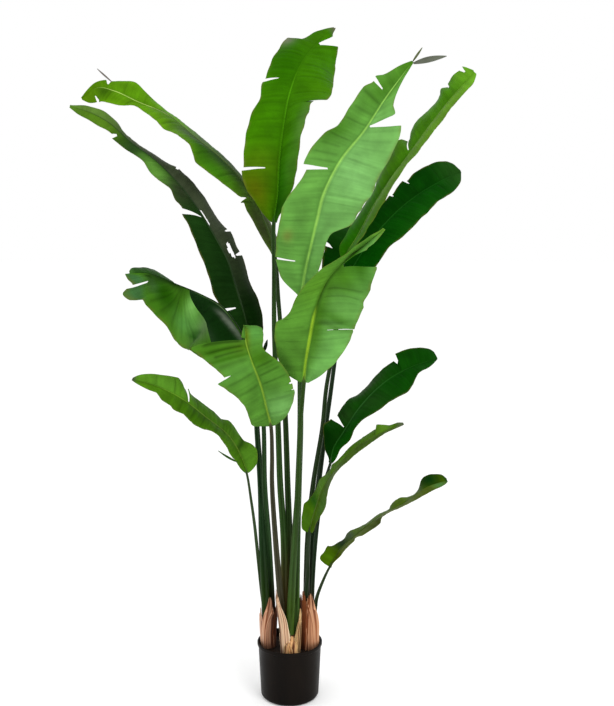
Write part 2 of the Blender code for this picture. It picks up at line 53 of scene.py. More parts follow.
MM = 0.001
# The gap between pieces that rest on each other, and heights above the pot's flat bottom
GAP = 0.0003
BED_LOW = 0.1253
SOIL_TOP = 0.140
POT_HEIGHT = 0.158
STUB_TOP = 0.200
# Seeds of the first stub clump and the first leaf, with the steps to the next ones
CLUMP_SEED, CLUMP_STEP = 300, 400
LEAF_SEED, LEAF_STEP = 1000, 50

Colour = Point = tuple[float, float, float]
Table = tuple[tuple[float, ...], ...]
Piece = bpy.types.Object
Material = bpy.types.Material
Socket = bpy.types.NodeSocket


class Slot(Enum):
    """Material slots of the record that new pieces take their finish from."""

    POT = "pot_plastic"
    SOIL = "soil"
    BARK = "stub_bark"
    SHEATH = "dry_sheath"
    STALK = "stalk"
    BRIGHT = "leaf_bright"
    LIGHT = "leaf_light"
    OLIVE = "leaf_olive"
    DARK = "leaf_dark"


class Side(Enum):
    """Halves of a blade, seen from its front, with the sign of their way out."""

    LEFT = -1.0
    RIGHT = 1.0


LEFT, RIGHT = Side.LEFT, Side.RIGHT


# ---- mesh helpers


def deselect_all() -> None:
    """Leave edit mode and deselect every object."""
    if bpy.context.mode != "OBJECT":
        bpy.ops.object.mode_set(mode="OBJECT")
    bpy.ops.object.select_all(action="DESELECT")


def make_active(item: Piece, *others: Piece) -> None:
    """Select objects and make the first the active one.

    Args:
        item: The object that becomes active.
        others: Objects selected with it.
    """
    deselect_all()
    for each in (item, *others):
        each.select_set(True)
    bpy.context.view_layer.objects.active = item


def take_new(name: str) -> Piece:
    """Name the object that was just added.

    Args:
        name: Name of the object and its mesh.

    Returns:
        The object.
    """
    item = bpy.context.object
    item.name = item.data.name = name
    return item


@contextmanager
def editing(item: Piece) -> Iterator[None]:
    """Hold a piece in edit mode, with all of it selected at first.

    Args:
        item: The piece.

    Yields:
        Nothing.
    """
    make_active(item)
    bpy.ops.object.mode_set(mode="EDIT")
    bpy.ops.mesh.select_all(action="SELECT")
    yield
    bpy.ops.object.mode_set(mode="OBJECT")


def add_grid(name: str, columns: int, rows: int) -> Piece:
    """Add a flat grid whose vertices are moved to their places afterwards.

    Args:
        name: Name of the piece.
        columns: Faces across.
        rows: Faces along.

    Returns:
        The new grid, alone selected.
    """
    deselect_all()
    bpy.ops.mesh.primitive_grid_add(x_subdivisions=columns, y_subdivisions=rows, size=1.0, calc_uvs=True)
    return take_new(name)


def grid_order(item: Piece, columns: int, rows: int) -> tuple[np.ndarray, np.ndarray]:
    """Read which row and column each vertex of a fresh grid stands in.

    Args:
        item: A grid from add_grid.
        columns: Faces across.
        rows: Faces along.

    Returns:
        The row numbers and the column numbers, one for each vertex.
    """
    places = np.empty(len(item.data.vertices) * 3)
    item.data.vertices.foreach_get("co", places)
    places = places.reshape(-1, 3)
    column = np.rint((places[:, 0] + 0.5) * columns).astype(int)
    row = np.rint((places[:, 1] + 0.5) * rows).astype(int)
    return row, column


def read_corners(item: Piece) -> np.ndarray:
    """Read the face corners of a piece.

    Args:
        item: The piece.

    Returns:
        The vertex number of each corner.
    """
    corners = np.empty(len(item.data.loops), dtype=np.int32)
    item.data.loops.foreach_get("vertex_index", corners)
    return corners


def read_chart(item: Piece) -> np.ndarray:
    """Read the UV map of a piece.

    Args:
        item: The piece.

    Returns:
        The place of each face corner on the map.
    """
    chart = np.empty(len(item.data.loops) * 2)
    item.data.uv_layers.active.data.foreach_get("uv", chart)
    return chart.reshape(-1, 2)


def shape_grid(name: str, surface: np.ndarray, scale: tuple[float, float] = (1.0, 1.0)) -> Piece:
    """Add a grid and bend it onto a surface.

    Args:
        name: Name of the piece.
        surface: Places of the rows and columns of vertices, an array of rows, columns and three.
        scale: Size of the UV map across and along.

    Returns:
        The bent grid.
    """
    rows, columns = surface.shape[0] - 1, surface.shape[1] - 1
    item = add_grid(name, columns, rows)
    row, column = grid_order(item, columns, rows)
    item.data.vertices.foreach_set("co", surface[row, column].ravel())
    corners = read_corners(item)
    chart = np.stack([column[corners] / columns * scale[0], row[corners] / rows * scale[1]], axis=1)
    item.data.uv_layers.active.data.foreach_set("uv", chart.ravel())
    item.data.update()
    return item


def paint(item: Piece, layer: str, colours: np.ndarray) -> None:
    """Store a colour for each vertex of a fresh grid.

    Args:
        item: The grid.
        layer: Name of the colour attribute.
        colours: Linear colours by row and column.
    """
    rows, columns = colours.shape[0] - 1, colours.shape[1] - 1
    chart = read_chart(item)
    span = chart.max(axis=0)
    values = np.ones((len(item.data.vertices), 4))
    row = np.rint(chart[:, 1] / span[1] * rows).astype(int)
    column = np.rint(chart[:, 0] / span[0] * columns).astype(int)
    values[read_corners(item), :3] = np.clip(colours[row, column], 0.0, 1.0)
    attribute = item.data.color_attributes.new(layer, "FLOAT_COLOR", "POINT")
    attribute.data.foreach_set("color", values.ravel())


def drop_faces(item: Piece, gone: np.ndarray) -> None:
    """Delete faces of a piece.

    Args:
        item: The piece.
        gone: True for each face that goes.
    """
    if not gone.any():
        return
    with editing(item):
        bpy.ops.mesh.select_mode(type="FACE")
        bpy.ops.mesh.select_all(action="DESELECT")
    item.data.polygons.foreach_set("select", gone)
    bpy.ops.object.mode_set(mode="EDIT")
    bpy.ops.mesh.delete(type="FACE")
    bpy.ops.object.mode_set(mode="OBJECT")


def weld_tube(item: Piece) -> None:
    """Weld the seam of a rolled grid, close its two ends and turn its faces outwards.

    Args:
        item: The rolled grid.
    """
    with editing(item):
        bpy.ops.mesh.remove_doubles(threshold=0.00001)
        bpy.ops.mesh.fill_holes(sides=0)
        bpy.ops.mesh.normals_make_consistent(inside=False)


def thicken(item: Piece, thickness: float, back_slot: int = 0) -> None:
    """Give a sheet its thickness, half to each side.

    Args:
        item: The sheet.
        thickness: Full thickness.
        back_slot: Material slot of the back face.
    """
    make_active(item)
    wall = item.modifiers.new("thickness", "SOLIDIFY")
    wall.thickness = thickness
    wall.offset = 0.0
    wall.material_offset = back_slot
    wall.material_offset_rim = 0
    bpy.ops.object.modifier_apply(modifier=wall.name)


def shade(item: Piece, degrees: float = 50.0) -> None:
    """Shade a piece smooth, with edges sharper than an angle left crisp."""
    make_active(item)
    bpy.ops.object.shade_smooth_by_angle(angle=math.radians(degrees))


def join(items: list[Piece]) -> Piece:
    """Join objects.

    Args:
        items: The objects.

    Returns:
        The first of them, which takes in the others.
    """
    make_active(*items)
    bpy.ops.object.join()
    return items[0]


def settle(piece: Piece, slot: Slot, *nodes: str) -> None:
    """Tie a finished piece to the frame and report it.

    Args:
        piece: The finished piece.
        slot: Record slot of the piece; not used.
        nodes: Nodes of the frame that it stands for.
    """
    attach(piece, BODY)
    if nodes:
        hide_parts(*nodes)
    LOG.info("%s: %d faces", piece.name, len(piece.data.polygons))


# ---- curves and values


def smooth_route(points: list[tuple[float, ...]], count: int) -> np.ndarray:
    """Run a centripetal Catmull-Rom curve through points.

    Args:
        points: Points of the route.
        count: How many evenly spaced points to return.

    Returns:
        The evenly spaced points.
    """
    knots = np.asarray(points, float)
    knots = np.vstack([2 * knots[0] - knots[1], knots, 2 * knots[-1] - knots[-2]])
    pieces = []
    for index in range(1, len(knots) - 2):
        p0, p1, p2, p3 = knots[index - 1:index + 3]
        t1 = np.linalg.norm(p1 - p0) ** 0.5
        t2 = t1 + np.linalg.norm(p2 - p1) ** 0.5
        t3 = t2 + np.linalg.norm(p3 - p2) ** 0.5
        t = np.linspace(t1, t2, 24, endpoint=False)[:, None]
        a1 = (t1 - t) / t1 * p0 + t / t1 * p1
        a2 = (t2 - t) / (t2 - t1) * p1 + (t - t1) / (t2 - t1) * p2
        a3 = (t3 - t) / (t3 - t2) * p2 + (t - t2) / (t3 - t2) * p3
        b1 = (t2 - t) / t2 * a1 + t / t2 * a2
        b2 = (t3 - t) / (t3 - t1) * a2 + (t - t1) / (t3 - t1) * a3
        pieces.append((t2 - t) / (t2 - t1) * b1 + (t - t1) / (t2 - t1) * b2)
    pieces.append(knots[-2][None])
    return even_spacing(np.vstack(pieces), count)


def even_spacing(points: np.ndarray, count: int) -> np.ndarray:
    """Space the points of a route evenly.

    Args:
        points: Points along the route.
        count: How many points to return.

    Returns:
        The evenly spaced points.
    """
    lengths = np.r_[0.0, np.cumsum(np.linalg.norm(np.diff(points, axis=0), axis=1))]
    even = np.linspace(0.0, lengths[-1], count)
    return np.stack([np.interp(even, lengths, points[:, axis]) for axis in range(3)], axis=1)


def read_table(entries: Table, where: np.ndarray, column: int = 1) -> np.ndarray:
    """Read a monotone cubic through the entries of a table.

    Args:
        entries: Rows of a share and its values, in rising order of share.
        where: Shares to read the table at.
        column: Which value of each row to read.

    Returns:
        The values at those shares.
    """
    table = np.asarray(entries, float)
    shares, values = table[:, 0], table[:, column]
    width = np.diff(shares)
    rise = np.diff(values) / width
    slope = np.zeros_like(values)
    for index in range(1, len(values) - 1):
        if rise[index - 1] * rise[index] > 0:
            before = 2 * width[index] + width[index - 1]
            after = width[index] + 2 * width[index - 1]
            slope[index] = (before + after) / (before / rise[index - 1] + after / rise[index])
    slope[0] = rise[0]
    slope[-1] = rise[-1]
    cell = np.clip(np.searchsorted(shares, where, side="right") - 1, 0, len(shares) - 2)
    t = (where - shares[cell]) / width[cell]
    start = (2 * t**3 - 3 * t**2 + 1) * values[cell] + (t**3 - 2 * t**2 + t) * width[cell] * slope[cell]
    end = (3 * t**2 - 2 * t**3) * values[cell + 1] + (t**3 - t**2) * width[cell] * slope[cell + 1]
    return start + end


def ramp(value: np.ndarray, low: float, high: float) -> np.ndarray:
    """Rise smoothly from 0 at low to 1 at high."""
    t = np.clip((value - low) / (high - low), 0.0, 1.0)
    return t * t * (3 - 2 * t)


def unit(vectors: np.ndarray) -> np.ndarray:
    """Scale vectors to length one along the last axis."""
    return vectors / np.linalg.norm(vectors, axis=-1, keepdims=True)


class Wobble:
    """A smooth random wave over one or two directions, the same on every run."""

    def __init__(self, seed: int, waves: int = 7) -> None:
        """Draw the waves.

        Args:
            seed: Seed of the draw.
            waves: How many sines are added up.
        """
        draw = np.random.default_rng(seed)
        self.rate = draw.uniform(0.35, 1.0, (waves, 2)) * draw.choice([-1.0, 1.0], (waves, 2))
        self.phase = draw.uniform(0.0, math.tau, waves)

    def __call__(self, first: np.ndarray, second: np.ndarray | float = 0.0) -> np.ndarray:
        """Return the wave, about -1 to 1, at the given places."""
        total = sum(
            np.sin(math.tau * (a * first + b * second) + c)
            for (a, b), c in zip(self.rate, self.phase)
        )
        return total / math.sqrt(len(self.phase)) * 0.8


def linear(colour: Colour) -> np.ndarray:
    """Turn a display colour of 0 to 255 into linear values of 0 to 1."""
    value = np.asarray(colour, float) / 255.0
    return np.where(value <= 0.04045, value / 12.92, ((value + 0.055) / 1.055) ** 2.4)


def blend(first: np.ndarray, second: np.ndarray, share: np.ndarray) -> np.ndarray:
    """Mix two colours or fields of colours by a field of shares."""
    return first + (second - first) * share[..., None]


# ---- finishes


class Nodes:
    """A node material under construction, with its Principled shader at hand."""

    def __init__(self, name: str, roughness: float, specular: float = 0.5) -> None:
        """Start a material.

        Args:
            name: Name of the material.
            roughness: Roughness of the shader where no node drives it.
            specular: Specular level of the shader.
        """
        self.material = bpy.data.materials.new(name)
        self.material.use_nodes = True
        self.tree = self.material.node_tree
        self.shader = self.tree.nodes["Principled BSDF"]
        self.shader.inputs["Roughness"].default_value = roughness
        self.shader.inputs["Specular IOR Level"].default_value = specular

    def wired(self, kind: str, inputs: dict[str | int, object], **settings: object) -> bpy.types.Node:
        """Add a node.

        Args:
            kind: Type of the node.
            inputs: What each input gets, a socket that is linked to it or a value.
            settings: Fields of the node.

        Returns:
            The new node.
        """
        node = self.tree.nodes.new(kind)
        for key, value in settings.items():
            setattr(node, key, value)
        for key, value in inputs.items():
            if isinstance(value, Socket):
                self.tree.links.new(value, node.inputs[key])
            else:
                node.inputs[key].default_value = value
        return node

    def place(self, scale: Point, chart: bool) -> Socket:
        """Return stretched coordinates, of the UV map or of the object."""
        source = self.wired("ShaderNodeTexCoord", {}).outputs["UV" if chart else "Object"]
        return self.wired("ShaderNodeMapping", {"Vector": source, "Scale": scale}).outputs["Vector"]

    def noise(self, scale: Point, chart: bool = False, detail: float = 3.0, rough: float = 0.55) -> Socket:
        """Return a noise value on stretched coordinates."""
        inputs = {"Vector": self.place(scale, chart), "Scale": 1.0, "Detail": detail, "Roughness": rough}
        return self.wired("ShaderNodeTexNoise", inputs).outputs["Fac"]

    def spread(self, value: Socket, low: float, high: float, start: float, end: float) -> Socket:
        """Map a value from the range of low to high to that of start to end, clamped."""
        inputs = {"Value": value, "From Min": low, "From Max": high, "To Min": start, "To Max": end}
        return self.wired("ShaderNodeMapRange", inputs).outputs["Result"]

    def tone(self, layer: str) -> Socket:
        """Return a painted colour of the piece."""
        return self.wired("ShaderNodeAttribute", {}, attribute_type="GEOMETRY", attribute_name=layer).outputs["Color"]

    def scaled(self, colour: Socket, value: Socket) -> Socket:
        """Return a colour made lighter or darker by a value."""
        return self.wired("ShaderNodeVectorMath", {0: colour, "Scale": value}, operation="SCALE").outputs["Vector"]

    def mixed(self, share: Socket, first: Socket | Colour, second: Socket | Colour) -> Socket:
        """Return a mix of two colours, from nodes or given as display values, by a share."""
        first, second = ((*linear(each), 1.0) if isinstance(each, tuple) else each for each in (first, second))
        return self.wired("ShaderNodeMix", {0: share, 6: first, 7: second}, data_type="RGBA").outputs[2]

    def total(self, first: Socket, second: Socket, share: float) -> Socket:
        """Return the first value plus a share of the second."""
        return self.wired("ShaderNodeMath", {0: second, 1: share, 2: first}, operation="MULTIPLY_ADD").outputs["Value"]

    def relief(self, height: Socket, strength: float, depth: float) -> None:
        """Raise a bump from a height of 0 to 1, with its depth in metres."""
        node = self.wired("ShaderNodeBump", {"Strength": strength, "Distance": depth, "Height": height})
        self.tree.links.new(node.outputs["Normal"], self.shader.inputs["Normal"])

    def wear(self, colour: Socket, roughness: Socket) -> None:
        """Give the shader its colour and its varying roughness."""
        self.tree.links.new(colour, self.shader.inputs["Base Color"])
        self.tree.links.new(roughness, self.shader.inputs["Roughness"])


@dataclass(frozen=True)
class LeafFinish:
    """Printed leaf cloth with fine parallel veins from the midrib to the edge.

    Layer names the painted colour that it shows, contrast is the strength of the veins, depth
    their relief in metres and gloss the linear colour of the sheen.
    """

    name: str
    layer: str
    roughness: float
    specular: float
    contrast: float
    depth: float
    gloss: Colour = (0.35, 1.0, 0.15)

    def material(self) -> Material:
        """Build the leaf cloth.

        Returns:
            The new material.
        """
        nodes = Nodes(self.name, self.roughness, self.specular)
        nodes.shader.inputs["Specular Tint"].default_value = (*self.gloss, 1.0)
        fine = nodes.noise((2.5, 620.0, 1.0), chart=True, detail=3.0, rough=0.6)
        broad = nodes.noise((1.2, 120.0, 1.0), chart=True, detail=2.0)
        mottle = nodes.noise((26.0, 26.0, 26.0), detail=4.0)
        band = nodes.noise((1.6, 42.0, 1.0), chart=True, detail=2.0)
        streaks = nodes.total(fine, broad, 1.1)
        light = nodes.spread(nodes.total(streaks, band, 1.3), 1.25, 2.15, 1.0 - self.contrast, 1.0 + self.contrast)
        patchy = nodes.spread(mottle, 0.3, 0.7, 0.88, 1.12)
        colour = nodes.scaled(nodes.scaled(nodes.tone(self.layer), light), patchy)
        gloss = nodes.spread(streaks, 0.7, 1.4, self.roughness - 0.07, self.roughness + 0.10)
        nodes.wear(colour, gloss)
        nodes.relief(streaks, 0.6, self.depth)
        return nodes.material


@dataclass(frozen=True)
class StalkFinish:
    """Smooth stalk skin with faint lengthwise fibres."""

    name: str = "stalk_skin"
    roughness: float = 0.36

    def material(self) -> Material:
        """Build the stalk skin.

        Returns:
            The new material.
        """
        nodes = Nodes(self.name, self.roughness, 0.09)
        fibre = nodes.noise((46.0, 9.0, 1.0), chart=True, detail=4.0)
        speck = nodes.noise((160.0, 160.0, 160.0), detail=2.0)
        light = nodes.spread(fibre, 0.3, 0.7, 0.74, 1.28)
        colour = nodes.scaled(nodes.tone("tone"), light)
        dots = nodes.spread(speck, 0.60, 0.72, 1.0, 0.72)
        nodes.wear(nodes.scaled(colour, dots), nodes.spread(fibre, 0.3, 0.7, 0.30, 0.46))
        nodes.relief(nodes.total(fibre, speck, 0.3), 0.4, 0.0005)
        return nodes.material


@dataclass(frozen=True)
class SheathFinish:
    """Dry leaf sheath: papery, tan to orange brown, with coarse fibres up its length."""

    name: str = "dry_sheath_fibre"
    stain: Colour = (108, 54, 26)

    def material(self) -> Material:
        """Build the dry sheath.

        Returns:
            The new material.
        """
        nodes = Nodes(self.name, 0.75, 0.25)
        fibre = nodes.noise((70.0, 5.0, 1.0), chart=True, detail=6.0, rough=0.65)
        spots = nodes.noise((5.0, 3.0, 1.0), chart=True, detail=4.0, rough=0.6)
        light = nodes.spread(fibre, 0.28, 0.72, 0.76, 1.20)
        base = nodes.scaled(nodes.tone("tone"), light)
        colour = nodes.mixed(nodes.spread(spots, 0.52, 0.76, 0.0, 0.55), base, self.stain)
        nodes.wear(colour, nodes.spread(fibre, 0.3, 0.7, 0.62, 0.85))
        nodes.relief(nodes.total(fibre, spots, 0.4), 0.7, 0.0010)
        return nodes.material


@dataclass(frozen=True)
class Grain:
    """A noise: its stretch along each axis, its number of layers and the weight of the finer ones."""

    scale: Point
    detail: float
    rough: float = 0.55

    def build(self, nodes: Nodes) -> Socket:
        """Return the noise of a material."""
        return nodes.noise(self.scale, detail=self.detail, rough=self.rough)


@dataclass(frozen=True)
class EarthFinish:
    """A rough finish of dark and light grains, where soft patches of a third colour may lie over.

    The patches begin where their noise reaches patch_start, wear is the range of the roughness,
    and the relief has a strength, a depth in metres and a share of the patches in it.
    """

    name: str
    roughness: float
    specular: float
    grain: Grain
    dark: Colour
    light: Colour
    light_start: float
    wear: tuple[float, float]
    strength: float
    depth: float
    patch: Grain | None = None
    patch_colour: Colour = (0, 0, 0)
    patch_start: float = 0.5
    patch_relief: float = 0.0

    def material(self) -> Material:
        """Build the finish.

        Returns:
            The new material.
        """
        nodes = Nodes(self.name, self.roughness, self.specular)
        height = grain = self.grain.build(nodes)
        colour = nodes.mixed(nodes.spread(grain, 0.35, self.light_start, 0.0, 1.0), self.dark, self.light)
        if self.patch is not None:
            patch = self.patch.build(nodes)
            colour = nodes.mixed(nodes.spread(patch, self.patch_start, 0.7, 0.0, 0.6), colour, self.patch_colour)
            height = nodes.total(grain, patch, self.patch_relief)
        nodes.wear(colour, nodes.spread(grain, 0.3, 0.7, *self.wear))
        nodes.relief(height, self.strength, self.depth)
        return nodes.material


BARK = EarthFinish(
    "stub_fibre", 0.85, 0.2, Grain((420.0, 420.0, 40.0), 5.0, 0.65), (26, 13, 7), (84, 46, 24), 0.65, (0.75, 0.95),
    1.0, 0.0016, Grain((60.0, 60.0, 30.0), 3.0), (16, 9, 6),
)
# Both soil colours are kept dark: painted shade, for the soil lying in the shade of the pot and the stubs.
SOIL = EarthFinish(
    "potting_soil", 0.95, 0.15, Grain((420.0, 420.0, 420.0), 6.0, 0.7), (12, 8, 5), (48, 32, 21), 0.68, (0.85, 1.0),
    1.0, 0.0022, Grain((90.0, 90.0, 90.0), 3.0), (18, 11, 7), 0.45, 0.6,
)
CEMENT = EarthFinish(
    "cast_cement", 0.9, 0.2, Grain((260.0, 260.0, 260.0), 6.0, 0.7), (120, 117, 110), (168, 165, 158), 0.65,
    (0.82, 0.98), 0.8, 0.0012,
)


@dataclass(frozen=True)
class PotFinish:
    """Satin black moulded plastic with faint flow marks and dust."""

    name: str = "pot_black_plastic"
    dark: Colour = (13, 10, 8)
    light: Colour = (21, 16, 12)
    dust: Colour = (60, 40, 26)

    def material(self) -> Material:
        """Build the pot plastic.

        Returns:
            The new material.
        """
        nodes = Nodes(self.name, 0.34, 0.05)
        flow = nodes.noise((14.0, 14.0, 5.0), detail=3.0)
        grain = nodes.noise((900.0, 900.0, 900.0), detail=2.0)
        specks = nodes.noise((60.0, 60.0, 60.0), detail=6.0, rough=0.7)
        base = nodes.mixed(nodes.spread(flow, 0.35, 0.65, 0.0, 1.0), self.dark, self.light)
        colour = nodes.mixed(nodes.spread(specks, 0.58, 0.80, 0.0, 0.14), base, self.dust)
        nodes.wear(colour, nodes.spread(nodes.total(specks, flow, 0.5), 0.5, 1.0, 0.28, 0.48))
        nodes.relief(nodes.total(grain, flow, 0.4), 0.25, 0.0004)
        return nodes.material


@dataclass(frozen=True)
class FloorFinish:
    """Plain matte white floor."""

    name: str = "white_floor"
    white: float = 0.94
    glow: float = 0.10

    def material(self) -> Material:
        """Build the floor paint.

        Returns:
            The new material.
        """
        nodes = Nodes(self.name, 0.9, 0.0)
        nodes.shader.inputs["Base Color"].default_value = (self.white, self.white, self.white, 1.0)
        nodes.shader.inputs["Emission Color"].default_value = (1.0, 1.0, 1.0, 1.0)
        nodes.shader.inputs["Emission Strength"].default_value = self.glow
        return nodes.material


# ---- leaves


@dataclass(frozen=True)
class Half:
    """One half of a blade.

    Reach is the distance of the edge from the midrib in millimetres, rise how far the edge comes
    forward and slip how far it is drawn towards the tip, all by the share of the blade's length
    that the edge point stands at.
    """

    reach: Table
    rise: Table
    slip: Table = ((0.0, 0.0), (1.0, 0.0))


@dataclass(frozen=True)
class Split:
    """A tear along a vein, from the edge inwards.

    Share is where it meets the edge, depth how near the midrib it comes as a share of the half's
    reach, width its opening at the edge in millimetres, and lift how far its two lips part. No
    row of the sheet stands nearer than jump to the tear, so that the reach can step there.
    """

    side: Side
    share: float
    depth: float
    width: float
    lift: float = 3.0
    jump: float = 0.0035


@dataclass(frozen=True)
class Hole:
    """An oval hole, by its middle and its half sizes in share of length and share of reach."""

    side: Side
    share: float
    reach: float
    along: float
    across: float


@dataclass(frozen=True)
class Patch:
    """A soft oval patch of another colour, placed as a hole is; some are the leaf's own colour, many are painted
    shadows and highlights.
    """

    side: Side
    share: float
    reach: float
    along: float
    across: float
    colour: Colour
    strength: float = 0.8


@dataclass(frozen=True)
class Crease:
    """A shaded fold along a vein.

    It runs from start to end of the reach, dark is the strength of its shade, and its width and
    depth are in millimetres.
    """

    side: Side
    share: float
    dark: float = 0.3
    width: float = 3.0
    start: float = 0.1
    end: float = 0.95
    depth: float = 0.8


@dataclass(frozen=True)
class Tone:
    """Display colours of a blade: its halves, midrib, tip and back.

    The rib's width is in millimetres. The tip's colour begins at tip_start and the midrib shows
    over rib_span, in shares of the length, and veins is the strength of the pleats' painted shade.
    The colours of the two halves also hold painted light and shade, lighter on a half that faced
    the light and darker on one turned away from it.
    """

    left: Colour
    right: Colour
    rib: Colour
    tip: Colour
    back: Colour
    rib_width: float = 3.0
    tip_start: float = 0.9
    rib_span: tuple[float, float] = (0.0, 0.90)
    veins: float = 0.065


@dataclass(frozen=True)
class Strand:
    """A narrow strip at a blade's tip, edge or foot: its two ends and its width in millimetres."""

    start: Point
    end: Point
    width: float
    colour: Colour = (92, 90, 82)


Mark = TypeVar("Mark", Split, Hole, Patch, Crease)


def marks(kind: type[Mark], left: tuple[tuple, ...] = (), right: tuple[tuple, ...] = ()) -> tuple[Mark, ...]:
    """Place marks of one kind on the two halves of a blade.

    Args:
        kind: The kind of mark.
        left: Values of each mark on the left half, without its side.
        right: Values of each mark on the right half.

    Returns:
        The marks.
    """
    return tuple(kind(side, *values) for side, rows in ((LEFT, left), (RIGHT, right)) for values in rows)


@dataclass(frozen=True)
class LeafPlan:
    """Everything that tells one leaf from another.

    The stalk runs from its foot on a stub through its points to the start of the blade's route,
    which ends at the blade's tip. Radius is the stalk's, before it swells towards the foot, and
    facing the way that the blade's front looks. Veins lists matching shares of the midrib, the
    left edge and the right edge, and sweep above 1 makes the veins leave the midrib squarely and
    bend later. Arch is the bulge of a half as a share of its reach. Pleat and ripple are the
    heights of the small and the large waves in millimetres.
    """

    name: str
    slot: Slot
    radius: float
    foot: tuple[float, float]
    stalk: tuple[Point, ...]
    route: tuple[Point, ...]
    left: Half
    right: Half
    tone: Tone
    stalk_tone: tuple[Colour, Colour]
    veins: Table = ((0, 0, 0), (0.5, 0.53, 0.53), (1, 1, 1))
    splits: tuple[Split, ...] = ()
    holes: tuple[Hole, ...] = ()
    patches: tuple[Patch, ...] = ()
    creases: tuple[Crease, ...] = ()
    strands: tuple[Strand, ...] = ()
    facing: Point = (0.0, -1.0, 0.0)
    sweep: float = 1.0
    arch: float = 0.08
    pleat: float = 0.45
    ripple: float = 4.0


@dataclass
class LeafLine:
    """The middle line of a whole leaf, from its stub to its tip, with a frame at each point.

    Socket is the length that stands upright on the stub.
    """

    plan: LeafPlan
    points: int = 1200
    steps: int = 500
    socket: float = 0.018

    def __post_init__(self) -> None:
        """Lay out the line."""
        plan = self.plan
        low = STUB_TOP + GAP
        knots = [(*plan.foot, low), (*plan.foot, low + self.socket), *plan.stalk, *plan.route]
        whole = smooth_route(knots, self.points)
        joint = int(np.argmin(np.linalg.norm(whole - np.asarray(plan.route[0]), axis=1)))
        self.stalk = even_spacing(whole[:joint + 1], self.steps)
        self.blade = even_spacing(whole[joint:], self.steps)
        self.length = float(np.linalg.norm(np.diff(self.blade, axis=0), axis=1).sum())
        self.stalk_length = float(np.linalg.norm(np.diff(self.stalk, axis=0), axis=1).sum())

    def frame_at(self, run: np.ndarray, share: np.ndarray) -> tuple[np.ndarray, np.ndarray, np.ndarray]:
        """Read places and directions along a run.

        Args:
            run: Evenly spaced points.
            share: Shares of the run's length.

        Returns:
            The places, the directions to the right and the directions to the front.
        """
        along = unit(np.gradient(run, axis=0))
        right = unit(np.cross(along, self.plan.facing))
        front = np.cross(right, along)
        ticks = np.linspace(0.0, 1.0, len(run))
        place, out, ahead = (
            np.stack([np.interp(share, ticks, values[:, axis]) for axis in range(3)], axis=-1)
            for values in (run, right, front)
        )
        beyond = np.clip(share - 1.0, 0.0, None)[..., None]
        return place + beyond * along[-1] * self.length, unit(out), unit(ahead)


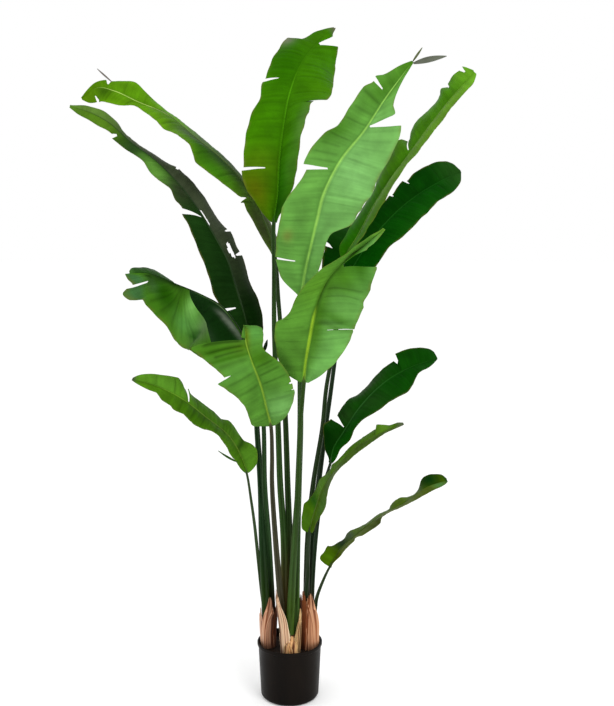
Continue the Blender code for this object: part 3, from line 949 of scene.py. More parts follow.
@dataclass
class Blade:
    """The blade of a leaf: a thin pleated sheet with its tears, colours and dry tip.

    Crowding is the power that draws the columns to the midrib, and the counts of the waves are
    meant for the usual length. Nicks is the depth of the edge's nicks as a share of the reach and
    flutter that of the small waves as a share of the large ones. Groove is the depth over the
    midrib. A tear's opening and its lifted lips fade out over opening_rows and lip_rows. Dry holds
    the colours of the dry edge in front and behind, and dryness its greatest strength.
    """

    plan: LeafPlan
    line: LeafLine
    seed: int
    columns: int = 32
    row_length: float = 0.0026
    crowding: float = 1.35
    thickness: float = 0.0011
    usual_length: float = 0.55
    nicks: float = 0.010
    flutter: float = 0.28
    groove: float = 0.0011
    opening_rows: float = 7.0
    lip_rows: float = 22.0
    dry: tuple[Colour, Colour] = ((104, 100, 44), (100, 96, 50))
    dryness: float = 0.45

    def __post_init__(self) -> None:
        """Prepare the shares of every row and column."""
        plan = self.plan
        self.rows = max(90, round(self.line.length / self.row_length))
        veins = np.asarray(plan.veins, float)
        key = veins.mean(axis=1)
        order = np.linspace(0.0, 1.0, self.rows + 1)
        table = tuple(map(tuple, np.column_stack([key, veins])))
        self.middle = read_table(table, order, 1)
        self.edges = {LEFT: read_table(table, order, 2), RIGHT: read_table(table, order, 3)}
        for split in plan.splits:
            edge = self.edges[split.side]
            near, far = split.share - split.jump, split.share + split.jump
            self.edges[split.side] = np.where(edge <= split.share, np.minimum(edge, near), np.maximum(edge, far))
        across = np.linspace(-1.0, 1.0, self.columns + 1)
        self.part = np.abs(across) ** self.crowding
        self.is_left = across < 0

    def by_side(self, values: dict[Side, np.ndarray]) -> np.ndarray:
        """Spread one value for each row over the columns of its own half."""
        return np.where(self.is_left[None, :], values[LEFT][:, None], values[RIGHT][:, None])

    def half_of(self, side: Side) -> np.ndarray:
        """Tell which columns lie in a half."""
        return self.is_left == (side is LEFT)

    def along_edges(self, left: Table, right: Table) -> dict[Side, np.ndarray]:
        """Read a table of millimetres for each half, along its edge."""
        return {side: read_table(table, self.edges[side]) * MM for side, table in ((LEFT, left), (RIGHT, right))}

    def split_row(self, split: Split) -> int:
        """Return the last row on the near side of a tear."""
        edge = self.edges[split.side]
        return int(np.clip(np.searchsorted(edge, split.share) - 1, 1, self.rows - 2))

    def tear(self, share: np.ndarray, lips: np.ndarray) -> tuple[np.ndarray, np.ndarray]:
        """Draw the rows beside each tear apart and lift its two lips.

        Args:
            share: Share of the length at each vertex.
            lips: Lift of each vertex.

        Returns:
            The new shares and lifts.
        """
        part = self.part[None, :]
        row = np.arange(self.rows + 1)[:, None]
        for split in self.plan.splits:
            last = self.split_row(split)
            away = np.abs(row - last - 0.5)
            mine = self.half_of(split.side)[None, :]
            deep = ramp(part, split.depth, 1.0)
            beyond = row > last
            close = np.exp(-away / self.opening_rows)
            share = share + mine * deep * close * np.where(beyond, 0.5, -0.5) * split.width * MM / self.line.length
            wide = np.exp(-away / self.lip_rows)
            way = np.where(beyond, 1.0, -1.0)
            lips = lips + mine * ramp(part, split.depth * 0.6, 1.0) * wide * way * split.lift * MM
        return share, lips

    def crease(self, lips: np.ndarray) -> np.ndarray:
        """Press the creases in and keep their shade for the colours.

        Args:
            lips: Lift of each vertex.

        Returns:
            The new lifts.
        """
        part = self.part[None, :]
        row = np.arange(self.rows + 1)[:, None]
        self.shadow = np.zeros_like(lips)
        for crease in self.plan.creases:
            at = np.searchsorted(self.edges[crease.side], crease.share)
            away = (row - at) * self.row_length / (crease.width * MM)
            begun = ramp(part, crease.start - 0.06, crease.start + 0.06)
            inside = begun * (1.0 - ramp(part, crease.end - 0.1, crease.end))
            fold = self.half_of(crease.side)[None, :] * inside * np.exp(-(away**2))
            self.shadow = self.shadow + crease.dark * fold
            lips = lips - crease.depth * MM * fold
        return lips

    def draw_pleats(self) -> np.ndarray:
        """Draw the pleats of each half and keep how they fade towards the midrib and the edge.

        Returns:
            Their heights, not faded yet, by row and column.
        """
        draw = np.random.default_rng(self.seed + 2)
        combs = {}
        for side in Side:
            fine = np.convolve(draw.normal(size=self.rows + 5), (0.3, 1.0, 0.3), mode="valid")[:self.rows + 1]
            broad = np.convolve(draw.normal(size=self.rows + 9), np.hanning(9), mode="valid")[:self.rows + 1]
            comb = fine / fine.std() + 0.9 * broad / broad.std()
            combs[side] = comb / comb.std()
        part = self.part[None, :]
        self.fade = ramp(part, 0.02, 0.16) * (1.0 - 0.45 * part)
        return self.by_side(combs)

    def surface(self) -> tuple[np.ndarray, np.ndarray, np.ndarray]:
        """Work out the sheet.

        Returns:
            The places of the vertices, and their shares of the length and distances from the midrib.
        """
        plan, length = self.plan, self.line.length
        reach = self.along_edges(plan.left.reach, plan.right.reach)
        rise = self.along_edges(plan.left.rise, plan.right.rise)
        slip = self.along_edges(plan.left.slip, plan.right.slip)
        nick = Wobble(self.seed + 3)
        for side in Side:
            reach[side] = reach[side] * (1.0 + self.nicks * nick(self.edges[side] * 16.0, side.value * 3.0))
        part = self.part[None, :]
        out, ahead = self.by_side(reach), self.by_side(rise)
        sign = np.where(self.is_left, -1.0, 1.0)[None, :]
        share = self.middle[:, None] + (self.by_side(self.edges) - self.middle[:, None]) * part**plan.sweep
        share, lips = self.tear(share, np.zeros_like(share))
        lips = self.crease(lips)
        share = np.clip(share + self.by_side(slip) / length * part**2, 0.0, None)
        place, right, front = self.line.frame_at(self.line.blade, share)
        span = np.hypot(out, ahead) + 0.002
        normal = unit(right * (-sign * ahead / span)[..., None] + front * ((out + 0.001) / span)[..., None])
        distance = span * part
        ripple, flutter = Wobble(self.seed), Wobble(self.seed + 1)
        swell = plan.ripple * MM * part**1.6 * ripple(share * 3.2 * length / self.usual_length, sign * 0.8)
        swell = swell + self.flutter * plan.ripple * MM * part**3 * flutter(
            share * 13.0 * length / self.usual_length, sign * 1.7)
        comb = self.draw_pleats()
        pleats = plan.pleat * MM * comb * self.fade * np.clip(span / 0.05, 0.2, 1.0)
        arch = plan.arch * span * np.sin(math.pi * part)
        groove = -self.groove * np.exp(-((distance / (plan.tone.rib_width * MM)) ** 2)) * (1.0 - 0.7 * share)
        lift = arch + swell + pleats + lips
        sheet = place + right * (sign * out * part)[..., None] + front * (ahead * part + groove)[..., None]
        sheet = sheet + normal * lift[..., None]
        self.comb = comb * self.fade
        return sheet, share, distance

    def colours(self, share: np.ndarray, distance: np.ndarray) -> tuple[np.ndarray, np.ndarray]:
        """Work out the painted colours.

        Args:
            share: Share of the length at each vertex.
            distance: Distance from the midrib at each vertex.

        Returns:
            The front colours and the back colours.
        """
        tone = self.plan.tone
        part = np.broadcast_to(self.part[None, :], share.shape)
        left = np.broadcast_to(self.is_left[None, :], share.shape)
        # The two halves' colours, with the painted light and shade that each half carries.
        base = blend(linear(tone.right), linear(tone.left), left.astype(float))
        mottle = Wobble(self.seed + 5)
        base = base * (1.0 + 0.10 * mottle(share * 5.0, part * 1.3))[..., None]
        back = np.broadcast_to(linear(tone.back), base.shape) * (1.0 + 0.08 * mottle(share * 4.0, part))[..., None]
        ends = ramp(share, tone.tip_start, 1.0)
        base = blend(base, linear(tone.tip), ends)
        back = blend(back, linear(tone.tip) * 0.8, ends * 0.7)
        # Patches: the leaf's own colour changes, and also painted shadows and painted highlights.
        for patch in self.plan.patches:
            mine = self.half_of(patch.side)[None, :]
            gap = ((share - patch.share) / patch.along) ** 2 + ((part - patch.reach) / patch.across) ** 2
            base = blend(base, linear(patch.colour), mine * patch.strength * np.exp(-gap))
            back = blend(back, linear(patch.colour), mine * patch.strength * 0.7 * np.exp(-gap))
        # Painted shade of the pleats: lighter on their ridges and darker in their troughs in front, the other way round
        # behind.
        veins = tone.veins * np.clip(self.comb, -2.0, 2.0)
        base = base * ((1.0 + veins) * (1.0 - np.clip(self.shadow, 0.0, 0.7)))[..., None]
        back = back * (1.0 - veins)[..., None]
        width = tone.rib_width * MM * (1.15 - 0.85 * np.clip(share, 0.0, 1.0))
        start, end = tone.rib_span
        rib = np.exp(-((distance / width) ** 4)) * ramp(share, start - 0.04, start)
        rib = rib * (1.0 - ramp(share, end, end + 0.1))
        base = blend(base, linear(tone.rib), rib * 0.9)
        # A darker band on each side of the midrib: painted shade along its groove.
        beside = np.exp(-(((distance - 2.1 * width) / width) ** 2))
        base = base * (1.0 - 0.16 * beside * (1.0 - rib))[..., None]
        dry = ramp(part, 0.955, 1.0) * (0.35 + 0.35 * mottle(share * 21.0))
        base, back = (
            blend(colour, linear(edge), np.clip(dry, 0.0, self.dryness))
            for colour, edge in zip((base, back), self.dry)
        )
        return base, back

    def torn_faces(self, share: np.ndarray) -> np.ndarray:
        """Find the faces that the tears and holes take away.

        Args:
            share: Share of the length at each vertex.

        Returns:
            True for each face of the grid that goes, by row and column.
        """
        gone = np.zeros((self.rows, self.columns), dtype=bool)
        part = (self.part[:-1] + self.part[1:]) / 2
        for split in self.plan.splits:
            gone[self.split_row(split), self.half_of(split.side)[:-1] & (part > split.depth)] = True
        middle = (share[:-1, :-1] + share[1:, 1:]) / 2
        for hole in self.plan.holes:
            mine = self.half_of(hole.side)[None, :-1]
            gap = ((middle - hole.share) / hole.along) ** 2 + ((part[None, :] - hole.reach) / hole.across) ** 2
            gone |= mine & (gap < 1.0)
        return gone

    def strand(self, number: int, plan: Strand) -> Piece:
        """Make one narrow strip.

        Args:
            number: Its number on the blade.
            plan: The strip's plan.

        Returns:
            The painted strip.
        """
        rise = np.linspace(0.0, 1.0, 15)[:, None]
        start, end = np.asarray(plan.start), np.asarray(plan.end)
        along = unit(end - start)
        side = unit(np.cross(along, (0.0, -1.0, 0.0)))
        front = np.cross(side, along)
        twist = 0.9 * (rise - 0.3)
        half = plan.width / 2 * MM * np.sin(math.pi * np.clip(rise * 0.94 + 0.05, 0.0, 1.0)) ** 0.8 + 0.0004
        line = start + (end - start) * rise + front * 0.006 * np.sin(math.pi * rise)
        across = np.linspace(-1.0, 1.0, 5)
        turned = side * np.cos(twist) + front * np.sin(twist)
        sheet = np.stack([line + turned * half * a + front * half * 0.5 * a * a for a in across], axis=1)
        item = shape_grid(f"strand_{self.plan.name}_{number}", sheet, (0.1, 0.05))
        colour = np.broadcast_to(linear(plan.colour), sheet.shape)
        paint(item, "tone_front", colour)
        paint(item, "tone_back", colour * 0.9)
        return item

    def build(self, front: Material, back: Material) -> Piece:
        """Build and dress the blade.

        Args:
            front: Material of the front face.
            back: Material of the back face.

        Returns:
            The finished piece.
        """
        sheet, share, distance = self.surface()
        item = shape_grid(f"leaf_blade_{self.plan.name}", sheet, (1.0, self.line.length))
        tone_front, tone_back = self.colours(share, distance)
        paint(item, "tone_front", tone_front)
        paint(item, "tone_back", tone_back)
        gone = self.torn_faces(share)
        chart = read_chart(item).reshape(-1, 4, 2).mean(axis=1)
        row = (chart[:, 1] / self.line.length * self.rows).astype(int)
        column = (chart[:, 0] * self.columns).astype(int)
        drop_faces(item, gone[row, column])
        pieces = [item, *(self.strand(number, strand) for number, strand in enumerate(self.plan.strands))]
        item = join(pieces)
        item.data.materials.append(front)
        item.data.materials.append(back)
        thicken(item, self.thickness, 1)
        shade(item)
        return item


@dataclass
class Petiole:
    """The stalk of a leaf, channelled down its front, which runs on as the rib behind the blade.

    Taper swells the radius from the foot to the top. The rib ends at rib_end of the blade, and
    rib_start and rib_tip give its radius, as shares of the plan's. The channel's half width and
    depth are shares of the radius too.
    """

    plan: LeafPlan
    line: LeafLine
    seed: int
    sides: int = 20
    rows: int = 150
    taper: Table = ((0.0, 1.75), (0.18, 1.5), (0.42, 1.25), (0.75, 1.0), (1.0, 0.8))
    rib_end: float = 0.93
    rib_start: float = 0.74
    rib_tip: float = 0.09
    channel_width: float = 0.42
    channel_depth: float = 0.62

    @property
    def whole(self) -> float:
        """Return the length of the stalk with its rib."""
        return self.line.stalk_length + self.rib_end * self.line.length

    def surface(self) -> tuple[np.ndarray, np.ndarray, np.ndarray, np.ndarray]:
        """Work out the tube.

        Returns:
            The places by row and column, the angles round the tube, and each row's shares of the
            whole run and of the blade.
        """
        line = self.line
        run = np.linspace(0.0, self.whole, self.rows + 1)
        on_stalk = run <= line.stalk_length
        stalk_share = np.clip(run / line.stalk_length, 0.0, 1.0)
        blade_share = np.clip((run - line.stalk_length) / line.length, 0.0, 1.0)
        place, right, front = (
            np.where(on_stalk[:, None], low, high)
            for low, high in zip(line.frame_at(line.stalk, stalk_share), line.frame_at(line.blade, blade_share))
        )
        swelling = np.interp(stalk_share, *zip(*self.taper))
        left_over = np.clip(1.0 - blade_share / self.rib_end, 0.0, None)
        radius = self.plan.radius * np.where(on_stalk, swelling, self.rib_start * left_over**0.9 + self.rib_tip)
        half_wide = radius * np.where(on_stalk, 1.0, 1.0 - 0.15 * blade_share)
        half_deep = radius * np.where(on_stalk, 0.95, 0.80)
        behind = ramp(blade_share, 0.0, 0.05)
        angle = -np.linspace(0.0, math.tau, self.sides + 1)[None, :]
        deep = half_deep[:, None] * np.sin(angle)
        channel = np.exp(-((np.cos(angle) / self.channel_width) ** 2)) * np.clip(np.sin(angle), 0.0, 1.0)
        share = run / self.whole
        groove = radius * (self.channel_depth * ramp(share, 0.0, 0.06)) * (1.0 - behind)
        deep = deep - groove[:, None] * channel
        centre = place - front * (behind * (half_deep + GAP))[:, None]
        wide = half_wide[:, None] * np.cos(angle)
        tube = centre[:, None, :] + right[:, None, :] * wide[..., None] + front[:, None, :] * deep[..., None]
        return tube, angle, share, blade_share

    def build(self, skin: Material) -> Piece:
        """Build and dress the stalk.

        Args:
            skin: Material of the stalk.

        Returns:
            The finished piece.
        """
        tube, angle, share, blade_share = self.surface()
        item = shape_grid(f"leaf_stalk_{self.plan.name}", tube, (0.2, self.whole))
        low_tone, high_tone = (linear(colour) for colour in self.plan.stalk_tone)
        climb = ramp(share, 0.03, 0.17)
        colour = np.broadcast_to(blend(low_tone, high_tone, climb)[:, None, :], tube.shape)
        streak = Wobble(self.seed)
        lit = 1.0 + 0.38 * streak(np.broadcast_to(angle / math.tau * 7.0, tube.shape[:2]), share[:, None] * 1.6)
        tone = self.plan.tone
        rib = linear(tone.rib) * 0.8 if tone.rib_span[0] < 0.05 else linear(tone.back) * 0.85
        on_rib = np.broadcast_to(ramp(blade_share, -0.02, 0.10)[:, None], lit.shape)
        paint(item, "tone", blend(colour * lit[..., None], rib, on_rib))
        item.data.materials.append(skin)
        weld_tube(item)
        shade(item, 60.0)
        return item


# Stalk colours, at the foot and higher up
GREEN_STALK = ((34, 56, 14), (30, 56, 28))
BROWN_STALK = ((76, 48, 28), (40, 62, 28))
DARK_STALK = ((44, 32, 26), (30, 42, 28))

LEAVES: tuple[LeafPlan, ...] = (
    LeafPlan(
        name="upper_left", slot=Slot.BRIGHT, radius=.0065, foot=(.002, -.024),
        stalk=((0, -.01, .45), (-.005, .01, .6), (-.01, .035, .75), (-.02, .06, .965), (-.03, .07, 1.1)),
        route=((-.04, .08, 1.22), (-.07, .1, 1.31), (-.115, .125, 1.4), (-.185, .15, 1.48), (-.265, .18, 1.545),
            (-.345, .21, 1.61), (-.425, .24, 1.645), (-.5, .26, 1.68), (-.55, .27, 1.69), (-.595, .27, 1.66)),
        left=Half(
            reach=((0, 6), (.04, 12), (.083, 20), (.12, 24), (.175, 29), (.203, 27), (.208, 36), (.212, 22), (.2145, 9),
                (.2215, 29), (.29, 38), (.375, 50), (.425, 53), (.45, 42), (.492, 24), (.535, 24), (.598, 37),
                (.65, 30), (.703, 22), (.758, 15), (.83, 34), (.92, 39), (.96, 37), (.985, 26), (1, 4)),
            rise=((0, 0), (.1, 20), (.2, 30), (.35, 45), (.52, 55), (.63, 45), (.75, 25), (.92, 15), (1, 0))),
        right=Half(
            reach=((0, 8), (.062, 18), (.12, 15), (.193, 8), (.26, 5), (.36, 3), (.453, 6), (.547, 12), (.6, 7),
                (.67, 3), (.7, 12), (.728, 22), (.78, 38), (.82, 47), (.865, 33), (.9, 23), (.94, 14), (1, 3)),
            rise=((0, 0), (.1, -40), (.25, -70), (.45, -80), (.6, -70), (.67, -60), (.72, -40), (.79, -20), (.87, -10),
                (1, 0))),
        tone=Tone((84, 134, 10), (80, 130, 12), (196, 226, 120), (72, 110, 7), (74, 98, 42), 2.5, .86, (.66, .86)),
        stalk_tone=BROWN_STALK,
        splits=marks(Split, left=((.218, .2, 2), (.955, .55, 9, 6)), right=((.9, .5, 4),)),
        patches=marks(Patch,
            left=((.53, .1, .05, .6, (84, 100, 70)), (.41, .05, .24, .62, (40, 64, 30), 1),
                (.46, .4, .05, .5, (36, 68, 12), .9), (.36, .75, .12, .4, (48, 104, 14)),
                (.1, .5, .13, 1.2, (64, 72, 42), .95), (.9, .3, .03, .5, (40, 72, 6))),
            right=((.5, .5, .06, 1.2, (88, 104, 74)), (.12, .5, .22, 1.4, (64, 74, 44), .95),
                (.38, .5, .14, 1.4, (50, 74, 36), .95))),
        creases=marks(Crease,
            left=((.88, .3, 3), (.8, .2, 3), (.62, .24, 4), (.45, .26, 4), (.34, .24, 4)),
            right=((.84, .26, 3), (.76, .2, 3))),
        strands=(Strand((-.504, .25, 1.704), (-.545, .25, 1.74), 3.5, (110, 104, 98)),),
        ripple=5,
    ),
    LeafPlan(
        name="long_left", slot=Slot.DARK, radius=.0075, foot=(-.064, -.003),
        stalk=((-.075, .015, .44), (-.08, .035, .595), (-.09, .055, .745), (-.095, .065, .85)),
        route=((-.105, .07, .965), (-.12, .07, 1.045), (-.145, .08, 1.125), (-.17, .09, 1.205), (-.205, .1, 1.27),
            (-.255, .12, 1.35), (-.31, .13, 1.42), (-.37, .13, 1.48), (-.43, .12, 1.525), (-.485, .1, 1.575),
            (-.53, .08, 1.6), (-.58, .06, 1.615)),
        left=Half(
            reach=((0, 6), (.05, 28), (.115, 50), (.147, 52), (.21, 60), (.3, 58), (.383, 50), (.435, 44), (.48, 40),
                (.4965, 38), (.5035, 34), (.54, 33), (.59, 23), (.66, 31), (.73, 20), (.8, 25), (.835, 26), (.845, 20),
                (.9, 22), (.97, 14), (1, 3)),
            rise=((0, 0), (.05, 10), (.12, 20), (.21, 25), (.3, 30), (.59, 30), (.73, 20), (.9, 10), (1, 0))),
        right=Half(
            reach=((0, 6), (.06, 42), (.13, 46), (.23, 38), (.3, 40), (.305, 34), (.37, 43), (.385, 45), (.39, 37),
                (.5, 28), (.625, 29), (.635, 22), (.7, 9), (.8, 6), (.88, 17), (.95, 12), (1, 3)),
            rise=((0, 0), (.06, -20), (.13, -40), (.25, -55), (.5, -50), (.63, -40), (.7, -45), (.8, -40), (.88, -20),
                (.95, -10), (1, 0))),
        tone=Tone((20, 48, 13), (56, 65, 45), (34, 58, 24), (76, 112, 34), (58, 62, 50), 2, .93),
        stalk_tone=GREEN_STALK,
        veins=((0, 0, 0), (.14, .145, .14), (.45, .5, .46), (1, 1, 1)),
        splits=marks(Split,
            left=((.145, .35, 4), (.5, .1, 5, 4), (.84, .5, 4)),
            right=((.303, .6, 4), (.388, .7, 4), (.63, .75, 3))),
        holes=marks(Hole, right=((.45, .08, .03, .1), (.32, .42, .026, .13))),
        patches=marks(Patch,
            left=((.67, .7, .1, .7, (92, 142, 54)), (.775, .5, .035, 1.2, (28, 50, 26), .9),
                (.9, .5, .08, 1.2, (88, 130, 28)), (.24, .3, .1, .5, (14, 38, 10), .7),
                (.565, .45, .055, .9, (44, 50, 35), .85)),
            right=((.92, .5, .09, 1.2, (88, 124, 44)), (.44, .6, .06, .8, (70, 78, 62), .6),
                (.1, .4, .2, 1.6, (9, 32, 5), 1))),
        ripple=4,
    ),
    LeafPlan(
        name="crown", slot=Slot.BRIGHT, radius=.0065, foot=(-.014, -.028),
        stalk=((-.015, -.015, .45), (-.025, -.005, .605), (-.03, 0, .76), (-.035, .01, .875), (-.04, .02, 1.025),
            (-.04, .025, 1.185)),
        route=((-.04, .03, 1.31), (-.03, .045, 1.38), (-.025, .07, 1.475), (-.015, .1, 1.565), (0, .14, 1.655),
            (.03, .18, 1.74), (.075, .23, 1.805), (.125, .27, 1.855)),
        left=Half(
            reach=((0, 8), (.05, 45), (.12, 82), (.2, 98), (.215, 99), (.22, 95), (.31, 97), (.45, 90), (.52, 74),
                (.59, 80), (.602, 79), (.608, 75), (.72, 77), (.79, 74), (.822, 74), (.84, 60), (.847, 50), (.853, 37),
                (.92, 27), (.97, 14), (1, 3)),
            rise=((0, 0), (.12, 10), (.45, 10), (.62, 0), (.79, -20), (.92, -10), (1, 0))),
        right=Half(
            reach=((0, 8), (.07, 27), (.15, 42), (.25, 48), (.4, 54), (.5, 60), (.553, 64), (.56, 96), (.572, 105),
                (.6, 110), (.7, 106), (.8, 98), (.88, 80), (.945, 52), (.962, 44), (.967, 12), (1, 3)),
            rise=((0, 0), (.07, 30), (.15, 45), (.25, 50), (.4, 50), (.54, 30), (.6, 10), (.7, -10), (.8, -20),
                (.88, -30), (.965, -10), (1, 0))),
        tone=Tone((54, 110, 3), (52, 106, 4), (82, 150, 18), (92, 94, 70), (48, 84, 16), 2.8, .955, (0, .6), .05),
        stalk_tone=BROWN_STALK,
        veins=((0, 0, 0), (.225, .212, .24), (.5, .46, .555), (.645, .602, .7), (.86, .84, .964), (1, 1, 1)),
        splits=marks(Split,
            left=((.217, .38, 4), (.605, .5, 5), (.849, .6, 5)),
            right=((.5565, .62, 3, 6), (.9645, .2, 5))),
        patches=marks(Patch,
            left=((.13, .75, .11, .5, (84, 80, 6), .7), (.25, .5, .07, .6, (70, 104, 8), .6),
                (.72, .5, .16, .8, (34, 87, 0), .85), (.88, .4, .1, .8, (48, 92, 6), .7),
                (.815, .95, .035, .25, (108, 108, 94))),
            right=((.14, .3, .16, .6, (32, 90, 3), .9), (.05, .3, .07, .9, (20, 62, 4), .85),
                (.22, .9, .07, .4, (62, 108, 30), .7), (.62, .8, .1, .4, (62, 114, 3), .7),
                (.42, .95, .12, .25, (82, 118, 54), .6))),
        creases=marks(Crease,
            left=((.34, .16, 4, .3), (.41, .18, 3, .2), (.49, .16, 4), (.545, .14, 3), (.66, .2, 4), (.74, .22, 4)),
            right=((.63, .18, 4), (.72, .2, 4), (.82, .2, 4), (.45, .16, 4), (.33, .14, 4))),
        arch=.1, ripple=6,
    ),
    LeafPlan(
        name="broad_right", slot=Slot.LIGHT, radius=.0075, foot=(.015, -.038),
        stalk=((.02, -.03, .455), (.025, -.02, .61), (.03, -.01, .76), (.03, -.01, .88), (.03, -.015, 1)),
        route=((.035, -.02, 1.12), (.045, -.04, 1.19), (.06, -.06, 1.255), (.075, -.075, 1.32), (.09, -.09, 1.38),
            (.13, -.11, 1.46), (.19, -.14, 1.535), (.24, -.17, 1.61), (.3, -.19, 1.69)),
        left=Half(
            reach=((0, 10), (.07, 62), (.128, 80), (.134, 82), (.24, 92), (.33, 94), (.37, 88), (.41, 72), (.475, 62),
                (.482, 76), (.51, 79), (.54, 78), (.6, 72), (.66, 59), (.74, 62), (.83, 60), (.868, 47), (.877, 50),
                (.9, 38), (.97, 16), (1, 3)),
            rise=((0, 0), (.07, 10), (.74, 10), (.83, 0), (1, 0))),
        right=Half(
            reach=((0, 7), (.05, 20), (.118, 32), (.165, 35), (.233, 35), (.265, 38), (.282, 44), (.302, 62),
                (.333, 88), (.375, 96), (.443, 104), (.508, 109), (.58, 103), (.65, 95), (.72, 86), (.79, 70),
                (.797, 66), (.803, 38), (.815, 40), (.84, 25), (.91, 10), (1, 3)),
            rise=((0, 0), (.12, 20), (.72, 20), (.785, 10), (1, 0))),
        # The right half is painted lighter than the left: painted light on the half that faced the light.
        tone=Tone((92, 146, 62), (106, 161, 82), (150, 200, 92), (66, 116, 20), (78, 124, 56), 3.8, .88, veins=.055),
        stalk_tone=GREEN_STALK,
        veins=((0, 0, 0), (.14, .128, .155), (.3, .27, .33), (.522, .478, .58), (.715, .7, .8), (.852, .872, .9),
            (1, 1, 1)),
        splits=marks(Split, left=((.131, .42, 2.5), (.4785, .27, 5, 5), (.8725, .39, 6)), right=((.8, .12, 7, 5),)),
        patches=marks(Patch,
            left=((.23, .72, .025, .14, (120, 104, 50), .5), (.64, .9, .09, .5, (56, 106, 18)),
                (.88, .4, .13, .8, (62, 112, 24), .85)),
            right=((.1, .5, .1, .9, (86, 140, 54), .6), (.54, .5, .1, .6, (120, 176, 100), .7),
                (.9, .4, .1, .8, (76, 130, 36)))),
        creases=marks(Crease,
            left=((.505, .2, 3), (.535, .24, 3, .2), (.57, .26, 3, .3), (.61, .2, 3, .2), (.7, .22, 3), (.76, .24, 3),
                (.82, .26, 3), (.35, .14, 4, .3), (.42, .16, 3, .4), (.28, .12, 3, .4), (.18, .14, 3, .5)),
            right=((.74, .18, 4), (.64, .12, 4), (.46, .12, 4))),
        strands=(Strand((.302, -.19, 1.686), (.38, -.196, 1.702), 13, (92, 96, 84)),
            Strand((.3, -.19, 1.69), (.322, -.194, 1.722), 4, (84, 92, 60))),
        arch=.07, ripple=5,
    ),
    LeafPlan(
        name="edge_right", slot=Slot.BRIGHT, radius=.0054, foot=(.046, -.005),
        stalk=((.05, .005, .445), (.065, .015, .6), (.09, .025, .755), (.1, .03, .86), (.12, .035, .98),
            (.13, .035, 1.105)),
        route=((.145, .03, 1.205), (.185, .015, 1.275), (.22, 0, 1.345), (.265, -.02, 1.42), (.315, -.04, 1.49),
            (.36, -.06, 1.555), (.41, -.08, 1.62), (.465, -.09, 1.68)),
        left=Half(
            reach=((0, 6), (.06, 28), (.11, 27), (.17, 24), (.3, 20), (.42, 32), (.52, 42), (.56, 45), (.585, 38),
                (.595, 20), (.605, 15), (.63, 24), (.68, 29), (.8, 20), (.835, 26), (.86, 35), (.89, 27), (.935, 34),
                (.98, 30), (1, 6)),
            rise=((0, 0), (.06, -30), (.17, -60), (.3, -70), (.52, -65), (.68, -65), (.87, -55), (.94, -40), (.98, -20),
                (1, 0))),
        right=Half(
            reach=((0, 6), (.1, 7), (.25, 10), (.45, 9), (.65, 13), (.85, 15), (.95, 15), (1, 6)),
            rise=((0, 0), (.1, 40), (.25, 65), (.45, 75), (.65, 70), (.85, 55), (.95, 30), (1, 0))),
        tone=Tone((62, 114, 12), (88, 134, 30), (96, 146, 36), (92, 146, 32), (68, 104, 28), 2.4, .86),
        stalk_tone=DARK_STALK,
        splits=marks(Split, left=((.598, .2, 4), (.975, .5, 6), (.89, .7, 3))),
        patches=marks(Patch,
            left=((.5, .9, .1, .4, (66, 96, 26), .6), (.1, .5, .16, 1.2, (38, 110, 2), .95),
                (.27, .2, .1, .8, (42, 100, 2), .9)),
            right=((.1, .5, .2, 1.2, (48, 108, 6)),)),
        ripple=3.5,
    ),
    LeafPlan(
        name="back_right", slot=Slot.DARK, radius=.006, foot=(.053, .009),
        stalk=((.06, .03, .435), (.08, .05, .59), (.1, .075, .745), (.115, .09, .85), (.13, .115, .97)),
        route=((.135, .14, 1.095), (.175, .17, 1.18), (.23, .2, 1.26), (.3, .24, 1.335), (.37, .28, 1.39),
            (.44, .32, 1.43), (.505, .36, 1.46)),
        left=Half(
            reach=((0, 8), (.06, 55), (.1, 77), (.14, 88), (.204, 101), (.21, 120), (.24, 127), (.28, 112), (.34, 76),
                (.46, 48), (.56, 45), (.598, 49), (.604, 44), (.65, 52), (.7, 58), (.706, 49), (.76, 56), (.83, 58),
                (.94, 48), (.98, 30), (1, 4)),
            rise=((0, 0), (.24, 0), (.33, -10), (.46, -20), (.83, -20), (.94, -10), (1, 0))),
        right=Half(
            reach=((0, 8), (.08, 36), (.2, 54), (.35, 50), (.5, 62), (.64, 59), (.77, 46), (.88, 43), (.96, 27),
                (1, 4)),
            rise=((0, 0), (.08, 10), (.2, 20), (.35, 30), (.77, 30), (.88, 20), (.96, 10), (1, 0))),
        tone=Tone((4, 50, 2), (5, 60, 2), (28, 88, 22), (28, 66, 18), (20, 50, 16), 2, .8),
        stalk_tone=DARK_STALK,
        veins=((0, 0, 0), (.5, .49, .55), (1, 1, 1)),
        splits=marks(Split, left=((.207, .72, 7), (.601, .86, 2), (.703, .72, 4))),
        patches=marks(Patch, left=((.3, .8, .1, .4, (24, 62, 16), .6),), right=((.62, .9, .2, .4, (18, 74, 10), .6),)),
        ripple=5,
    ),
    LeafPlan(
        name="front", slot=Slot.LIGHT, radius=.0069, foot=(.002, -.056),
        stalk=((.015, -.07, .47), (.025, -.085, .625), (.03, -.105, .78)),
        route=((.04, -.12, .905), (.045, -.14, .96), (.055, -.17, 1.025), (.07, -.2, 1.1), (.1, -.24, 1.175),
            (.145, -.27, 1.225), (.185, -.3, 1.26), (.225, -.33, 1.295)),
        left=Half(
            reach=((0, 12), (.04, 48), (.09, 66), (.17, 82), (.25, 88), (.31, 89), (.35, 70), (.39, 60), (.47, 53),
                (.58, 36), (.7, 23), (.82, 10), (.93, 6), (1, 3)),
            rise=((0, 0), (.17, -10), (.31, -10), (.37, 0), (.58, 15), (.82, 20), (1, 0))),
        right=Half(
            reach=((0, 12), (.04, 32), (.1, 53), (.17, 74), (.28, 93), (.37, 102), (.396, 99), (.404, 104), (.54, 106),
                (.7, 95), (.8, 79), (.85, 63), (.871, 54), (.877, 14), (.92, 8), (1, 3)),
